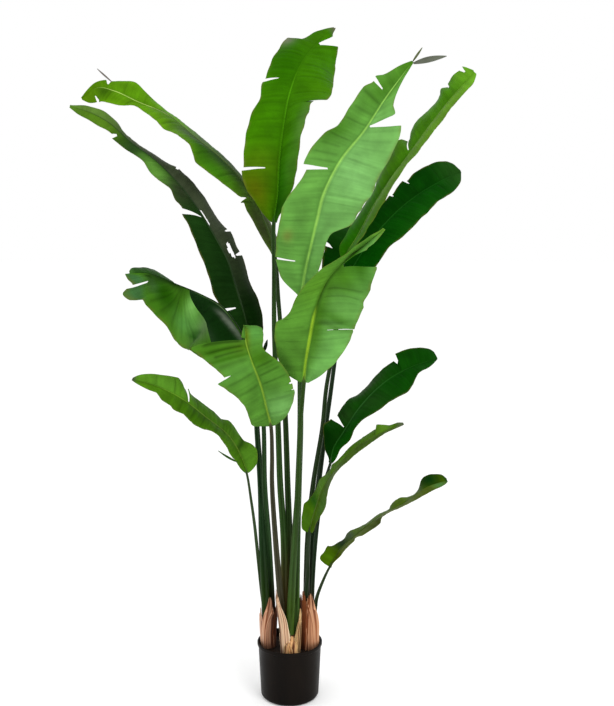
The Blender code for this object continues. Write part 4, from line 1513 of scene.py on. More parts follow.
            rise=((0, 0), (.1, 20), (.28, 25), (.54, 30), (.8, 30), (.88, 20), (1, 0))),
        tone=Tone((80, 131, 44), (102, 160, 76), (146, 184, 44), (92, 136, 44), (76, 122, 48), 3.4, .9, (0, .36)),
        stalk_tone=GREEN_STALK,
        veins=((0, 0, 0), (.3, .245, .4), (.69, .6, .874), (1, 1, 1)),
        splits=marks(Split, left=((.33, .8, 3),), right=((.4, .36, 8, 4), (.874, .15, 8, 5))),
        # The narrow dark patches on the midrib, at reach 0, are painted shade in its groove.
        patches=marks(Patch,
            left=((.5, 0, .14, .07, (38, 70, 6), 1), (.56, .5, .12, .8, (86, 138, 32), .6)),
            right=((.42, .1, .46, .26, (62, 108, 14), .95), (.68, .38, .12, .46, (66, 116, 24), .9),
                (.435, .5, .04, .55, (54, 102, 18), .9), (.52, 0, .14, .05, (38, 70, 6), 1),
                (.5, .6, .08, .5, (90, 142, 60), .5), (.8, .55, .09, .5, (48, 98, 8), .9),
                (.375, .55, .02, .4, (70, 112, 44)))),
        creases=marks(Crease,
            left=((.47, .2, 4), (.27, .22, 3, .2), (.2, .16, 4, .3)),
            right=((.73, .3, 4), (.67, .26, 3), (.61, .14, 3), (.455, .34, 5, .1, .8), (.33, .16, 3), (.2, .14, 4))),
        arch=.07, ripple=5,
    ),
    LeafPlan(
        name="folded_left", slot=Slot.DARK, radius=.006, foot=(-.049, .01),
        stalk=((-.058, .018, .44), (-.068, .02, .595), (-.07, .03, .75), (-.075, .035, .83), (-.09, .03, .905)),
        route=((-.11, .02, .97), (-.135, -.01, 1.03), (-.175, -.045, 1.09), (-.225, -.085, 1.125), (-.28, -.135, 1.155),
            (-.335, -.195, 1.185), (-.38, -.25, 1.19)),
        left=Half(
            reach=((0, .6), (.019, .6), (.04, 92), (.1, 114), (.18, 128), (.3, 138), (.42, 139), (.52, 132),
                (.573, 122), (.647, 100), (.718, 88), (.768, 80), (.893, 66), (.9, 64), (.998, 66), (1.004, 52),
                (1.0105, 37), (1.0135, 28), (1.018, 15), (1.022, 1)),
            rise=((0, 0), (.02, 0), (.05, 20), (.18, 30), (.49, 30), (.71, 25), (.85, 15), (1.02, 0)),
            slip=((0, 0), (.9, 0), (.99, -8), (.998, -8), (1.004, 8), (1.0105, -9), (1.0135, -20), (1.018, -8),
                (1.022, 0))),
        right=Half(
            reach=((0, -50), (.02, -74), (.06, -94), (.12, -102), (.2, -102), (.32, -98), (.42, -80), (.5, -56),
                (.58, -28), (.65, -4), (.74, 3), (.82, 6), (.87, 8), (.92, 11), (.955, 9), (.98, 5), (1, 1)),
            rise=((0, 0), (.08, -30), (.18, -55), (.3, -65), (.45, -70), (.6, -60), (.75, -45), (.85, -30), (.95, -15),
                (1, 0))),
        # The right half, behind the ridge, is coloured dark: painted shade.
        tone=Tone((60, 108, 22), (30, 66, 16), (22, 46, 12), (62, 106, 40), (16, 48, 12), 1.6, .93),
        stalk_tone=((26, 20, 14), (42, 68, 36)),
        veins=((0, 0, 0), (.56, .015, .48), (.565, .045, .49), (.62, .62, .56), (.655, .893, .62), (.662, .998, .63),
            (.765, 1.0105, .76), (.772, 1.0135, .77), (1, 1.022, 1)),
        splits=marks(Split, left=((.03, .04, 0, 0, .012), (1.012, .62, 0, 3, .0012))),
        # Among these, the dark wedges under the ridge and the lobes are painted shadows and the pale spots on the bulge
        # painted highlights.
        patches=marks(Patch,
            left=((.51, .28, .05, .2, (112, 166, 82), .95), (.52, .62, .1, .2, (84, 142, 66), .7),
                (.4, .92, .16, .2, (84, 132, 46), .6), (.94, .85, .07, .3, (56, 96, 56), .9),
                (.79, .5, .07, .14, (76, 114, 62), .95), (.8, .13, .08, .3, (32, 54, 24), .95),
                (.855, .38, .045, .22, (24, 46, 12), .95), (.71, .5, .05, .18, (14, 50, 4), 1),
                (.71, .45, .1, .32, (30, 72, 4), .95), (.69, 0, .12, .17, (18, 40, 8), 1),
                (.34, .6, .09, .26, (102, 130, 84), .9), (.41, .73, .06, .09, (22, 74, 8), .95)),
            right=((.26, .16, .06, .08, (118, 126, 112), .95), (.19, .12, .06, .08, (118, 126, 112), .95),
                (.12, .07, .06, .08, (110, 122, 104), .95), (.25, .97, .2, .2, (84, 108, 80), .6))),
        creases=marks(Crease,
            left=((.6, .3, 3, .2), (.45, .24, 3, .3), (.72, .26, 3, .2), (.28, .3, 3, .5), (.82, .22, 3, .3))),
        sweep=1.9, arch=.05, ripple=3,
    ),
    LeafPlan(
        name="arched", slot=Slot.LIGHT, radius=.006, foot=(-.018, -.046),
        stalk=((-.036, -.065, .465), (-.044, -.09, .63), (-.043, -.105, .71)),
        route=((-.045, -.12, .79), (-.055, -.14, .84), (-.07, -.155, .905), (-.09, -.16, .96), (-.105, -.145, 1.005),
            (-.11, -.115, 1.035), (-.115, -.07, 1.045)),
        left=Half(
            reach=((0, 14), (.02, 42), (.06, 48), (.212, 50), (.315, 59), (.41, 73), (.485, 86), (.53, 96), (.536, 76),
                (.578, 84), (.642, 99), (.698, 116), (.725, 126), (.738, 137), (.748, 136), (.757, 116), (.762, 12),
                (.81, 8), (.9, 3), (1, 2)),
            rise=((0, 0), (.12, 10), (.22, 20), (.43, 30), (.63, 30), (.7, 20), (.8, 10), (1, 0))),
        right=Half(
            reach=((0, 12), (.022, 22), (.068, 40), (.138, 57), (.22, 71), (.28, 78), (.36, 78), (.413, 76), (.473, 69),
                (.565, 53), (.63, 40), (.66, 39), (.725, 44), (.81, 46), (.855, 44), (.9, 34), (.94, 20), (1, 5)),
            rise=((0, 0), (.09, 15), (.18, 20), (.29, 20), (.41, 10), (.52, 0), (1, 0))),
        tone=Tone((76, 125, 43), (74, 123, 41), (132, 164, 52), (84, 132, 50), (84, 128, 60), 2.7, .95),
        stalk_tone=((50, 30, 32), (46, 36, 38)),
        veins=((0, 0, 0), (.3, .27, .33), (.545, .533, .56), (.765, .7595, .76), (1, 1, 1)),
        splits=marks(Split, left=((.533, .78, 4), (.7597, .04, 0, 0)), right=((.3, .95, 1.5), (.345, .92, 2))),
        # The two thin dark lines across the left half, at its creases, are painted shade of its folds.
        patches=marks(Patch,
            left=((.645, .5, .014, .9, (44, 92, 8)), (.705, .6, .012, .9, (46, 94, 8)),
                (.73, .8, .04, .5, (66, 114, 22), .7), (.7, .08, .05, .3, (90, 116, 20), .5),
                (.7, .55, .06, .6, (62, 112, 20), .7), (.54, .5, .05, .6, (86, 140, 56), .7)),
            right=((.58, .4, .08, .8, (58, 104, 16), .85), (.17, .6, .12, .8, (102, 154, 80), .9),
                (.82, .6, .09, .8, (84, 142, 62), .85), (.8, .05, .12, .2, (96, 118, 12)))),
        creases=marks(Crease,
            left=((.665, .52, 3, .1, .85), (.705, .56, 3.4, .1, .9), (.742, .6, 4, .1, .85), (.6, .22, 3),
                (.47, .24, 4), (.36, .2, 3), (.25, .16, 4)),
            right=((.47, .42, 3, .1, .9), (.53, .34, 3, .1, .9), (.4, .24, 3), (.26, .18, 4))),
        strands=(Strand((-.062, -.118, .982), (-.053, -.118, 1.014), 8, (26, 40, 26)),),
        facing=(0, -.988, .155), arch=.06, pleat=.8, ripple=4,
    ),
    LeafPlan(
        name="low_left", slot=Slot.OLIVE, radius=.004, foot=(-.068, .015),
        stalk=((-.078, .016, .3), (-.088, .012, .4), (-.096, .002, .49), (-.104, -.008, .56)),
        route=((-.115, -.02, .64), (-.13, -.035, .69), (-.16, -.06, .75), (-.22, -.09, .81), (-.265, -.12, .855),
            (-.32, -.16, .895), (-.385, -.2, .925)),
        left=Half(
            reach=((0, 4), (.12, 9), (.217, 15), (.312, 13), (.388, 9), (.422, 10), (.492, 22), (.535, 25), (.642, 23),
                (.71, 26), (.745, 20), (.805, 18), (.84, 10), (.86, 5), (.91, 6), (.955, 5), (1, 3)),
            rise=((0, 0), (.06, 20), (.14, 30), (.37, 45), (.58, 40), (.8, 30), (.92, 15), (1, 0))),
        right=Half(
            reach=((0, 6), (.01, 16), (.043, 34), (.098, 44), (.13, 39), (.175, 22), (.23, 19), (.27, 21), (.305, 22),
                (.355, 13), (.453, 14), (.552, 13), (.605, 15), (.6365, 23), (.6435, 12), (.66, 17), (.682, 26),
                (.723, 34), (.812, 30), (.932, 20), (.978, 11), (1, 3)),
            rise=((0, 0), (.04, -10), (.19, -35), (.26, -45), (.67, -40), (.82, -20), (.92, -10), (1, 0))),
        tone=Tone((66, 110, 16), (76, 124, 27), (104, 140, 40), (62, 72, 48), (64, 100, 30), 2.2, .968),
        stalk_tone=((34, 46, 26), (46, 62, 40)),
        splits=marks(Split, right=((.64, .1, 7, 5),)),
        patches=marks(Patch,
            left=((.56, .4, .18, .8, (48, 88, 6), .7),),
            right=((.8, .4, .1, .6, (84, 134, 40), .6), (.09, .5, .05, .9, (82, 132, 34)),
                (.175, .5, .02, 1, (36, 66, 14)))),
        creases=marks(Crease,
            left=((.68, .3, 3), (.58, .3, 4), (.5, .3, 3), (.4, .26, 3)),
            right=((.56, .26, 4), (.46, .26, 3), (.3, .24, 3), (.74, .24, 3), (.86, .2, 3))),
        strands=(Strand((-.136, -.062, .68), (-.187, -.07, .713), 5, (52, 84, 32)),),
        ripple=4,
    ),
    LeafPlan(
        name="low_right", slot=Slot.DARK, radius=.0046, foot=(.061, -.006),
        stalk=((.062, -.01, .305), (.072, -.025, .455), (.082, -.04, .545), (.095, -.055, .625)),
        route=((.11, -.07, .68), (.12, -.06, .72), (.145, -.04, .755), (.19, 0, .815), (.26, .05, .875),
            (.34, .11, .91), (.42, .17, .925)),
        left=Half(
            reach=((0, 5), (.013, 6), (.062, 20), (.1, 31), (.17, 53), (.21, 47), (.2455, 42), (.2525, 29), (.3, 31),
                (.367, 32), (.47, 22), (.583, 23), (.7, 26), (.7365, 28), (.7435, 42), (.763, 43), (.823, 45),
                (.945, 36), (.99, 20), (1, 4)),
            rise=((0, 0), (.12, -15), (.22, -30), (.48, -40), (.69, -35), (.86, -20), (1, 0))),
        right=Half(
            reach=((0, 5), (.043, 13), (.11, 17), (.152, 21), (.208, 18), (.273, 21), (.365, 35), (.413, 39),
                (.535, 45), (.635, 52), (.71, 43), (.755, 30), (.797, 21), (.91, 15), (1, 3)),
            rise=((0, 0), (.04, 10), (.12, 20), (.2, 30), (.6, 30), (.81, 20), (.91, 10), (1, 0))),
        tone=Tone((9, 58, 3), (8, 58, 3), (30, 84, 22), (14, 60, 8), (22, 54, 16), 2, .92),
        stalk_tone=DARK_STALK,
        veins=((0, 0, 0), (.21, .249, .22), (.5, .53, .52), (1, 1, 1)),
        splits=marks(Split, left=((.249, .16, 14), (.74, .6, 4))),
        patches=marks(Patch,
            left=((.5, .7, .12, .6, (40, 66, 25), .5), (.28, .5, .06, .8, (26, 52, 17)),
                (.1, .5, .1, 1.2, (4, 36, 2), .95)),
            right=((.43, .4, .1, .8, (26, 60, 17), .7),)),
        ripple=4.5,
    ),
    LeafPlan(
        name="narrow_right", slot=Slot.OLIVE, radius=.005, foot=(.048, -.02),
        stalk=((.045, -.026, .3), (.05, -.045, .365), (.05, -.07, .425)),
        route=((.055, -.1, .5), (.07, -.12, .565), (.09, -.14, .63), (.125, -.16, .69), (.17, -.18, .745),
            (.23, -.21, .79), (.285, -.24, .82)),
        left=Half(
            reach=((0, 12), (.01, 22), (.045, 27), (.1, 31), (.13, 33), (.16, 26), (.205, 18), (.25, 15), (.283, 17),
                (.315, 19), (.37, 13), (.403, 13), (.432, 17), (.473, 12), (.55, 11), (.63, 12), (.69, 14), (.758, 19),
                (.785, 21), (.79, 13), (.795, 14), (.8, 25), (.85, 18), (.897, 11), (.955, 9), (1, 4)),
            rise=((0, 0), (.05, -20), (.22, -40), (.66, -45), (.8, -35), (.94, -10), (1, 0))),
        right=Half(
            reach=((0, 8), (.05, 9), (.098, 10), (.18, 15), (.235, 21), (.288, 22), (.338, 19), (.413, 13), (.492, 8),
                (.545, 7), (.625, 13), (.713, 15), (.787, 14), (.858, 10), (.922, 7), (.973, 3), (1, 2)),
            rise=((0, 0), (.06, 20), (.26, 40), (.54, 45), (.8, 30), (.93, 15), (1, 0))),
        tone=Tone((60, 96, 5), (56, 84, 5), (70, 100, 20), (84, 92, 70), (50, 84, 18), 1.8, .93),
        stalk_tone=DARK_STALK,
        veins=((0, 0, 0), (.5, .5, .52), (.8, .7925, .82), (1, 1, 1)),
        splits=marks(Split, left=((.793, .5, 2, 3),)),
        patches=marks(Patch,
            left=((.06, .5, .06, .9, (60, 98, 20), .7), (.2, .5, .04, 1, (22, 72, 14)),
                (.3, .5, .06, 1, (84, 122, 44), .7), (.86, .6, .05, .9, (80, 122, 26))),
            right=((.25, .7, .12, .5, (56, 92, 34), .7), (.4, .6, .12, 1, (70, 92, 40), .6))),
        facing=(0, -.95, .31), arch=.02, ripple=1.6,
    ),
    LeafPlan(
        name="lowest", slot=Slot.OLIVE, radius=.004, foot=(.066, .004),
        stalk=((.07, 0, .245), (.075, 0, .28), (.09, -.015, .33)),
        route=((.11, -.03, .38), (.14, -.02, .425), (.185, -.01, .465), (.25, .01, .51), (.315, .03, .54),
            (.38, .05, .58), (.44, .07, .595)),
        left=Half(
            reach=((0, 16), (.01, 33), (.03, 36), (.06, 33), (.104, 34), (.108, 28), (.12, 22), (.143, 18), (.193, 13),
                (.24, 18), (.26, 18), (.29, 14), (.35, 8), (.415, 5), (.48, 6), (.547, 4), (.573, 5), (.588, 11),
                (.635, 18), (.667, 18), (.715, 8), (.765, 3), (.795, 5), (.823, 11), (.86, 26), (.878, 30), (.902, 31),
                (.95, 26), (.983, 20), (1, 6)),
            rise=((0, 0), (.03, -10), (.15, -35), (.39, -45), (.61, -40), (.82, -35), (.97, -10), (1, 0))),
        right=Half(
            reach=((0, 5), (.028, 2), (.11, 8), (.188, 6), (.238, 7), (.253, 3), (.3, 10), (.357, 13), (.41, 15),
                (.43, 14), (.453, 6), (.47, 3), (.52, 3), (.578, 4), (.657, 6), (.738, 11), (.815, 14), (.9, 13),
                (.97, 9), (1, 4)),
            rise=((0, 0), (.06, 20), (.26, 40), (.54, 45), (.85, 30), (1, 0))),
        tone=Tone((66, 92, 4), (72, 90, 8), (68, 92, 20), (24, 66, 16), (58, 84, 18), 1.8, .97),
        stalk_tone=((40, 44, 26), (44, 60, 36)),
        patches=marks(Patch,
            left=((.89, .6, .09, 1.2, (8, 46, 6), 1), (.24, .6, .03, .8, (70, 82, 66)),
                (.165, .6, .045, .9, (16, 44, 16), .95), (.05, .5, .05, .9, (74, 116, 14), .7)),
            right=((.93, .5, .05, .9, (72, 122, 60)), (.42, .8, .05, .6, (58, 70, 18)))),
        facing=(0, -.95, .31), arch=.02, ripple=1.4,
    ),
)


@dataclass
class Leaf:
    """A whole leaf: its stalk and its blade."""

    plan: LeafPlan
    seed: int

    def build(self, cloth: dict[Slot, tuple[Material, Material]], skin: Material) -> None:
        """Build both pieces and tie them to the frame.

        Args:
            cloth: Front and back material for each leaf slot.
            skin: Material of the stalk.
        """
        line = LeafLine(self.plan)
        blade = Blade(self.plan, line, self.seed).build(*cloth[self.plan.slot])
        settle(blade, self.plan.slot, f"blade_{self.plan.name}")
        stalk = Petiole(self.plan, line, self.seed + 7).build(skin)
        settle(stalk, Slot.STALK, f"stalk_{self.plan.name}")


# ---- stubs and dry sheaths


@dataclass(frozen=True)
class SheathPlan:
    """A dry sheath round a stub.

    Middle, covered angle and lean, the turn of its point, are in degrees, top is the height of its
    point in metres, and a higher layer lies further out. Its side shading is painted shade on one
    edge, shreds counts the strips that peel off, and flare is how far it stands off in millimetres at its top.
    """

    name: str
    middle: float
    covered: float
    top: float
    lean: float
    layer: int = 0
    colour: Colour = (206, 152, 106)
    shaded_side: float = 0.0
    shreds: int = 1
    flare: float = 4.8


@dataclass
class StubClump:
    """A stub with the dry sheaths around it."""

    name: str
    x: float
    y: float
    radius: float
    sheaths: tuple[SheathPlan, ...]
    thickness: float = 0.0009
    rows: int = 44
    columns: int = 22
    rings: int = 16
    flare_height: float = 0.154
    stain_and_bottom_colours: tuple[Colour, Colour, Colour] = ((138, 74, 36), (78, 34, 16), (58, 30, 16))

    def build_stub(self, bark: Material) -> None:
        """Build the stub from a cylinder, ringed and roughened.

        Args:
            bark: Material of the stub.
        """
        deselect_all()
        tall = STUB_TOP - BED_LOW
        bpy.ops.mesh.primitive_cylinder_add(
            vertices=48, radius=self.radius, depth=tall, location=(self.x, self.y, (STUB_TOP + BED_LOW) / 2)
        )
        item = take_new(f"trunk_stub_{self.name}")
        bpy.ops.object.transform_apply(location=True, rotation=False, scale=False)
        with editing(item):
            for step in range(1, self.rings):
                height = BED_LOW + tall * step / self.rings
                bpy.ops.mesh.select_all(action="SELECT")
                bpy.ops.mesh.bisect(plane_co=(self.x, self.y, height), plane_no=(0.0, 0.0, 1.0))
        ring = Wobble(int(self.radius * 10000))
        for vertex in item.data.vertices:
            away = Vector((vertex.co.x - self.x, vertex.co.y - self.y, 0.0))
            if BED_LOW + MM < vertex.co.z < STUB_TOP - MM:
                turn = math.atan2(away.y, away.x) / math.tau
                rough = float(ring(np.float64(turn * 9.0), vertex.co.z * 110.0))
                vertex.co -= away.normalized() * (0.0006 + 0.0006 * rough)
        item.data.materials.append(bark)
        shade(item, 40.0)
        settle(item, Slot.BARK, f"stub_{self.name}")

    def ticks(self) -> tuple[np.ndarray, np.ndarray]:
        """Return the rows' shares of the height, and the columns' places across from -1 to 1."""
        return np.linspace(0.0, 1.0, self.rows + 1)[:, None], np.linspace(-1.0, 1.0, self.columns + 1)[None, :]

    def strip(self, plan: SheathPlan, seed: int, shred: bool) -> np.ndarray:
        """Work out the surface of a sheath, or of a narrow shred that peels off it.

        Args:
            plan: The sheath's plan.
            seed: Seed of its irregularities.
            shred: True for a narrow peeling shred.

        Returns:
            Places by row and column.
        """
        draw = np.random.default_rng(seed)
        wave = Wobble(seed)
        low = SOIL_TOP + GAP
        rise, across = self.ticks()
        middle, covered, top, lean = plan.middle, plan.covered, plan.top, plan.lean
        if shred:
            middle = plan.middle + draw.uniform(-0.32, 0.32) * plan.covered
            covered = draw.uniform(24.0, 38.0)
            top = low + (plan.top - low) * draw.uniform(0.70, 0.98)
            lean = plan.lean + draw.uniform(-12.0, 12.0)
        teeth = 0.16 * np.clip(wave(across * 2.6, 0.3), 0.0, 1.0) + 0.20 * np.abs(across) ** 2.5
        tongue = 1.0 - (0.4 if shred else 1.0) * teeth * rise**2
        height = low + (top - low) * rise * tongue
        narrow = 1.0 - (0.82 if shred else 0.68) * rise ** (1.5 if shred else 2.0)
        half = covered / 2 * narrow * (1.0 + 0.07 * wave(rise * 3.0, 1.7))
        centre = middle + lean * rise**1.5 + 3.0 * wave(rise * 1.4, 0.2)
        flare = plan.flare * MM * np.clip((height - low) / self.flare_height, 0.0, 1.0) ** 1.5
        lift = 0.0026 + 0.0020 * plan.layer + flare
        if shred:
            lift = lift + 0.0014 + 0.011 * rise**2.2 * draw.uniform(0.3, 1.0)
        curl = 0.0024 * across**2 * rise**0.7
        fibre = 0.00035 * wave(across * 7.0, rise * 0.9) + 0.0009 * wave(across * 1.6, rise * 1.8) * rise
        reach = self.radius + lift + curl + np.clip(fibre, -0.0008, None)
        angle = np.radians(centre + half * across)
        x, y = self.x + reach * np.cos(angle), self.y + reach * np.sin(angle)
        return np.stack([x, y, height * np.ones_like(angle)], axis=-1)

    def colours(self, plan: SheathPlan, seed: int, number: int) -> np.ndarray:
        """Work out the painted colours of a sheath or a shred.

        Args:
            plan: The sheath's plan.
            seed: Seed of its irregularities.
            number: 0 for the sheath itself, then 1 and up for its shreds.

        Returns:
            The colours by row and column.
        """
        stain = Wobble(seed + 20 + number)
        rise, across = self.ticks()
        shape = (self.rows + 1, self.columns + 1)
        ochre, umber, bottom_dark = (linear(colour) for colour in self.stain_and_bottom_colours)
        tan = linear(plan.colour) * (0.82 + 0.25 * number / 3)
        colour = np.broadcast_to(tan, (*shape, 3))
        colour = blend(colour, ochre, np.clip(0.30 + 0.7 * stain(across * 2.2, rise * 0.7), 0.0, 0.9))
        # Umber stains at random, plus painted shade darkening one edge of the sheath.
        deep = np.clip(0.9 * stain(across * 1.4 + 5.0, rise * 0.5) - 0.1 + plan.shaded_side * across, 0.0, 0.85)
        colour = blend(colour, umber, deep)
        # Darker towards the bottom of each sheath, near the soil.
        colour = blend(colour, bottom_dark, np.broadcast_to(0.75 * (1.0 - ramp(rise, 0.0, 0.16)), shape))
        edge = 0.6 * ramp(np.abs(across), 0.80, 1.0) * np.ones_like(rise)
        return blend(colour, np.clip(tan * 1.3, 0.0, 0.8), edge)

    def build_sheath(self, plan: SheathPlan, seed: int, fibre: Material) -> None:
        """Build a sheath with the shreds that peel off it.

        Args:
            plan: The sheath's plan.
            seed: Seed of its irregularities.
            fibre: Material of the sheath.
        """
        pieces = []
        for number in range(plan.shreds + 1):
            sheet = self.strip(plan, seed + number, shred=number > 0)
            item = shape_grid(f"sheath_part_{plan.name}_{number}", sheet, (plan.covered / 360.0, plan.top - SOIL_TOP))
            paint(item, "tone", self.colours(plan, seed, number))
            pieces.append(item)
        item = join(pieces)
        item.name = item.data.name = f"dry_sheath_{plan.name}"
        item.data.materials.append(fibre)
        with editing(item):
            bpy.ops.mesh.flip_normals()
        thicken(item, self.thickness)
        shade(item, 45.0)
        settle(item, Slot.SHEATH, f"sheath_{plan.name}")

    def build(self, bark: Material, fibre: Material, seed: int) -> None:
        """Build the stub and all its sheaths.

        Args:
            bark: Material of the stub.
            fibre: Material of the sheaths.
            seed: Seed of the first sheath.
        """
        self.build_stub(bark)
        for number, plan in enumerate(self.sheaths):
            self.build_sheath(plan, seed + 40 * number, fibre)


CLUMPS: tuple[StubClump, ...] = (
    StubClump("left", -.0595, .005, .0190, (
        SheathPlan("left_front", 262, 104, .290, 22, colour=(218, 166, 132), shaded_side=.55),
        SheathPlan("left_side", 206, 62, .256, 8, colour=(226, 184, 156), shreds=0),
        # left_back is coloured dark brown and flares wide to fill the dark gap beside the left stub: painted shade.
        SheathPlan("left_back", 350, 120, .330, 4, colour=(60, 30, 18), shreds=0, flare=9.0))),
    StubClump("centre", .0030, -.040, .0240, (
        SheathPlan("centre_left", 232, 88, .328, -38, colour=(240, 204, 168), shaded_side=-.45, flare=12.0),
        SheathPlan("centre_right", 322, 66, .272, 10, colour=(226, 190, 132), shaded_side=.3),
        SheathPlan("centre_front", 272, 84, .200, 6, 1, colour=(252, 196, 134)),
        SheathPlan("centre_back", 40, 140, .300, -10, colour=(78, 40, 24), shreds=0))),
    StubClump("right", .0540, -.003, .0230, (
        SheathPlan("right_front", 232, 84, .312, 8, colour=(150, 84, 44), shaded_side=-.5, flare=7.0),
        SheathPlan("right_side", 300, 92, .306, -24, 1, colour=(216, 160, 120), shaded_side=-.35),
        SheathPlan("right_back", 110, 150, .276, -12, colour=(110, 62, 34)))),
)


# ---- pot and soil


@dataclass
class Pot:
    """The nursery pot, spun from its profile."""

    rim_radius: float = 0.090
    wall_top: float = 0.0875
    wall_base: float = 0.080
    wall: float = 0.0025
    floor: float = 0.004
    base_round: float = 0.012
    rim_depth: float = 0.008
    steps: int = 128

    def inner(self, height: float) -> float:
        """Return the inner radius at a height."""
        return self.wall_base + (self.wall_top - self.wall_base) * height / POT_HEIGHT - self.wall

    @staticmethod
    def arc(
        centre: tuple[float, float], radius: float, start: float, end: float, count: int
    ) -> list[tuple[float, float]]:
        """Return points of an arc of the profile.

        Args:
            centre: Middle of the arc.
            radius: Its radius.
            start: First angle, in degrees from the way out.
            end: Last angle.
            count: How many points.

        Returns:
            The points.
        """
        return [
            (centre[0] + radius * math.cos(math.radians(a)), centre[1] + radius * math.sin(math.radians(a)))
            for a in np.linspace(start, end, count)
        ]

    def profile(self) -> list[tuple[float, float]]:
        """Work out the profile.

        Returns:
            Radius and height from the inner floor over the rim to the middle of the base.
        """
        lip = (self.rim_radius - self.inner(POT_HEIGHT)) / 2
        hollow = self.base_round - self.wall
        edge = self.inner(self.base_round) + self.wall - self.base_round
        points = [(0.0, self.floor), (0.03, self.floor)]
        points += self.arc((self.inner(self.base_round) - hollow, self.floor + hollow), hollow, -90, 0, 8)
        points += [(self.inner(z), z) for z in (0.05, 0.09, 0.13)]
        points += self.arc((self.rim_radius - lip, POT_HEIGHT - lip), lip, 180, 0, 14)
        points += [(self.rim_radius, POT_HEIGHT - self.rim_depth + 0.001)]
        points += self.arc((self.rim_radius - 0.001, POT_HEIGHT - self.rim_depth), 0.001, 0, -60, 4)
        points += [(self.inner(0.148) + self.wall + 0.0004, 0.1478), (self.inner(0.145) + self.wall, 0.1452)]
        points += [(self.inner(z) + self.wall, z) for z in (0.12, 0.09, 0.06, 0.03)]
        points += self.arc((edge, self.base_round), self.base_round, 0, -90, 10)
        points += [(0.055, 0.0), (0.053, 0.0008), (0.020, 0.0008), (0.018, 0.0), (0.0, 0.0)]
        return points

    def build(self, plastic: Material) -> None:
        """Spin the profile round and dress the pot.

        Args:
            plastic: Material of the pot.
        """
        deselect_all()
        bpy.ops.mesh.primitive_plane_add(size=0.01, location=(0.0, 0.0, 0.0))
        item = take_new("nursery_pot")
        with editing(item):
            bpy.ops.mesh.merge(type="CENTER")
            at = Vector((0.0, 0.0, 0.0))
            for index, (radius, height) in enumerate(self.profile()):
                goal = Vector((radius, 0.0, height))
                if index == 0:
                    bpy.ops.transform.translate(value=goal - at)
                else:
                    bpy.ops.mesh.extrude_region_move(TRANSFORM_OT_translate={"value": goal - at})
                at = goal
            bpy.ops.mesh.select_all(action="SELECT")
            bpy.ops.mesh.spin(
                steps=self.steps, angle=math.tau, center=(0.0, 0.0, 0.0), axis=(0.0, 0.0, 1.0), use_normal_flip=False
            )
            bpy.ops.mesh.select_all(action="SELECT")
            bpy.ops.mesh.remove_doubles(threshold=0.00005)
            bpy.ops.mesh.normals_make_consistent(inside=False)
        item.data.materials.append(plastic)
        shade(item, 40.0)
        settle(item, Slot.POT, "pot")


@dataclass
class Soil:
    """The soil layer with its crumbs."""

    radius: float = 0.0836
    rings: int = 44
    spokes: int = 144
    crumbs: int = 190
    crumb_size: tuple[float, float] = (0.0009, 0.0030)

    def build_bed(self, earth: Material) -> Piece:
        """Build the uneven bed of soil.

        Args:
            earth: Material of the soil.

        Returns:
            The bed, closed all round.
        """
        turn = np.linspace(0.0, math.tau, self.spokes + 1)[None, :]
        out = np.linspace(0.004, 1.0, self.rings + 1)[:, None]
        lump = Wobble(77)
        grit = Wobble(78)
        radius = self.radius * out
        x, y = radius * np.cos(turn), radius * np.sin(turn)
        height = SOIL_TOP + 0.0011 * lump(x * 26.0, y * 26.0) + 0.0006 * grit(x * 150.0, y * 150.0) - 0.0010
        height = height - 0.002 * ramp(out, 0.92, 1.0)
        top = np.stack([x, y, height * np.ones_like(turn)], axis=-1)
        low = np.full(turn.shape[1], BED_LOW)
        skirt, under = (np.stack([x[ring], y[ring], low], axis=-1)[None] for ring in (-1, 0))
        item = shape_grid("soil_bed", np.concatenate([top, skirt, under]))
        weld_tube(item)
        item.data.materials.append(earth)
        return item

    def build(self, earth: Material) -> None:
        """Build the bed and scatter the crumbs over it.

        Args:
            earth: Material of the soil.
        """
        bed = self.build_bed(earth)
        deselect_all()
        bpy.ops.mesh.primitive_ico_sphere_add(subdivisions=2, radius=1.0, location=(0.0, 0.0, 0.0))
        crumb = take_new("soil_crumb")
        bump = Wobble(91)
        for vertex in crumb.data.vertices:
            rough = float(bump(np.float64(vertex.co.x * 0.8 + vertex.co.z), vertex.co.y * 0.9))
            vertex.co *= 1.0 + 0.22 * rough
        draw = np.random.default_rng(92)
        pieces = [bed]
        for _ in range(self.crumbs):
            away = math.sqrt(draw.uniform(0.0, 1.0)) * (self.radius - 0.004)
            turn = draw.uniform(0.0, math.tau)
            size = draw.uniform(*self.crumb_size)
            twin = crumb.copy()
            twin.data = crumb.data.copy()
            bpy.context.collection.objects.link(twin)
            twin.location = (away * math.cos(turn), away * math.sin(turn), SOIL_TOP - 0.0006)
            twin.rotation_euler = draw.uniform(0.0, math.tau, 3)
            twin.scale = size * draw.uniform(0.7, 1.2, 3)
            pieces.append(twin)
        bpy.data.objects.remove(crumb)
        for twin in pieces[1:]:
            twin.data.materials.append(earth)
        make_active(*pieces[1:])
        bpy.ops.object.transform_apply(location=True, rotation=True, scale=True)
        item = join(pieces)
        item.name = item.data.name = "soil_top"
        shade(item, 50.0)
        settle(item, Slot.SOIL, "soil")


# ---- studio


@dataclass(frozen=True)
class Lamp:
    """A soft box: its place, the point that it faces, its size and its power."""

    name: str
    place: Point
    aim: Point
    size: float
    power: float

    def build(self) -> None:
        """Hang the soft box."""
        data = bpy.data.lights.new(self.name, "AREA")
        data.shape = "SQUARE"
        data.size = self.size
        data.energy = self.power
        item = bpy.data.objects.new(self.name, data)
        bpy.context.scene.collection.objects.link(item)
        item.location = self.place
        item.rotation_euler = (Vector(self.aim) - Vector(self.place)).to_track_quat("-Z", "Y").to_euler()


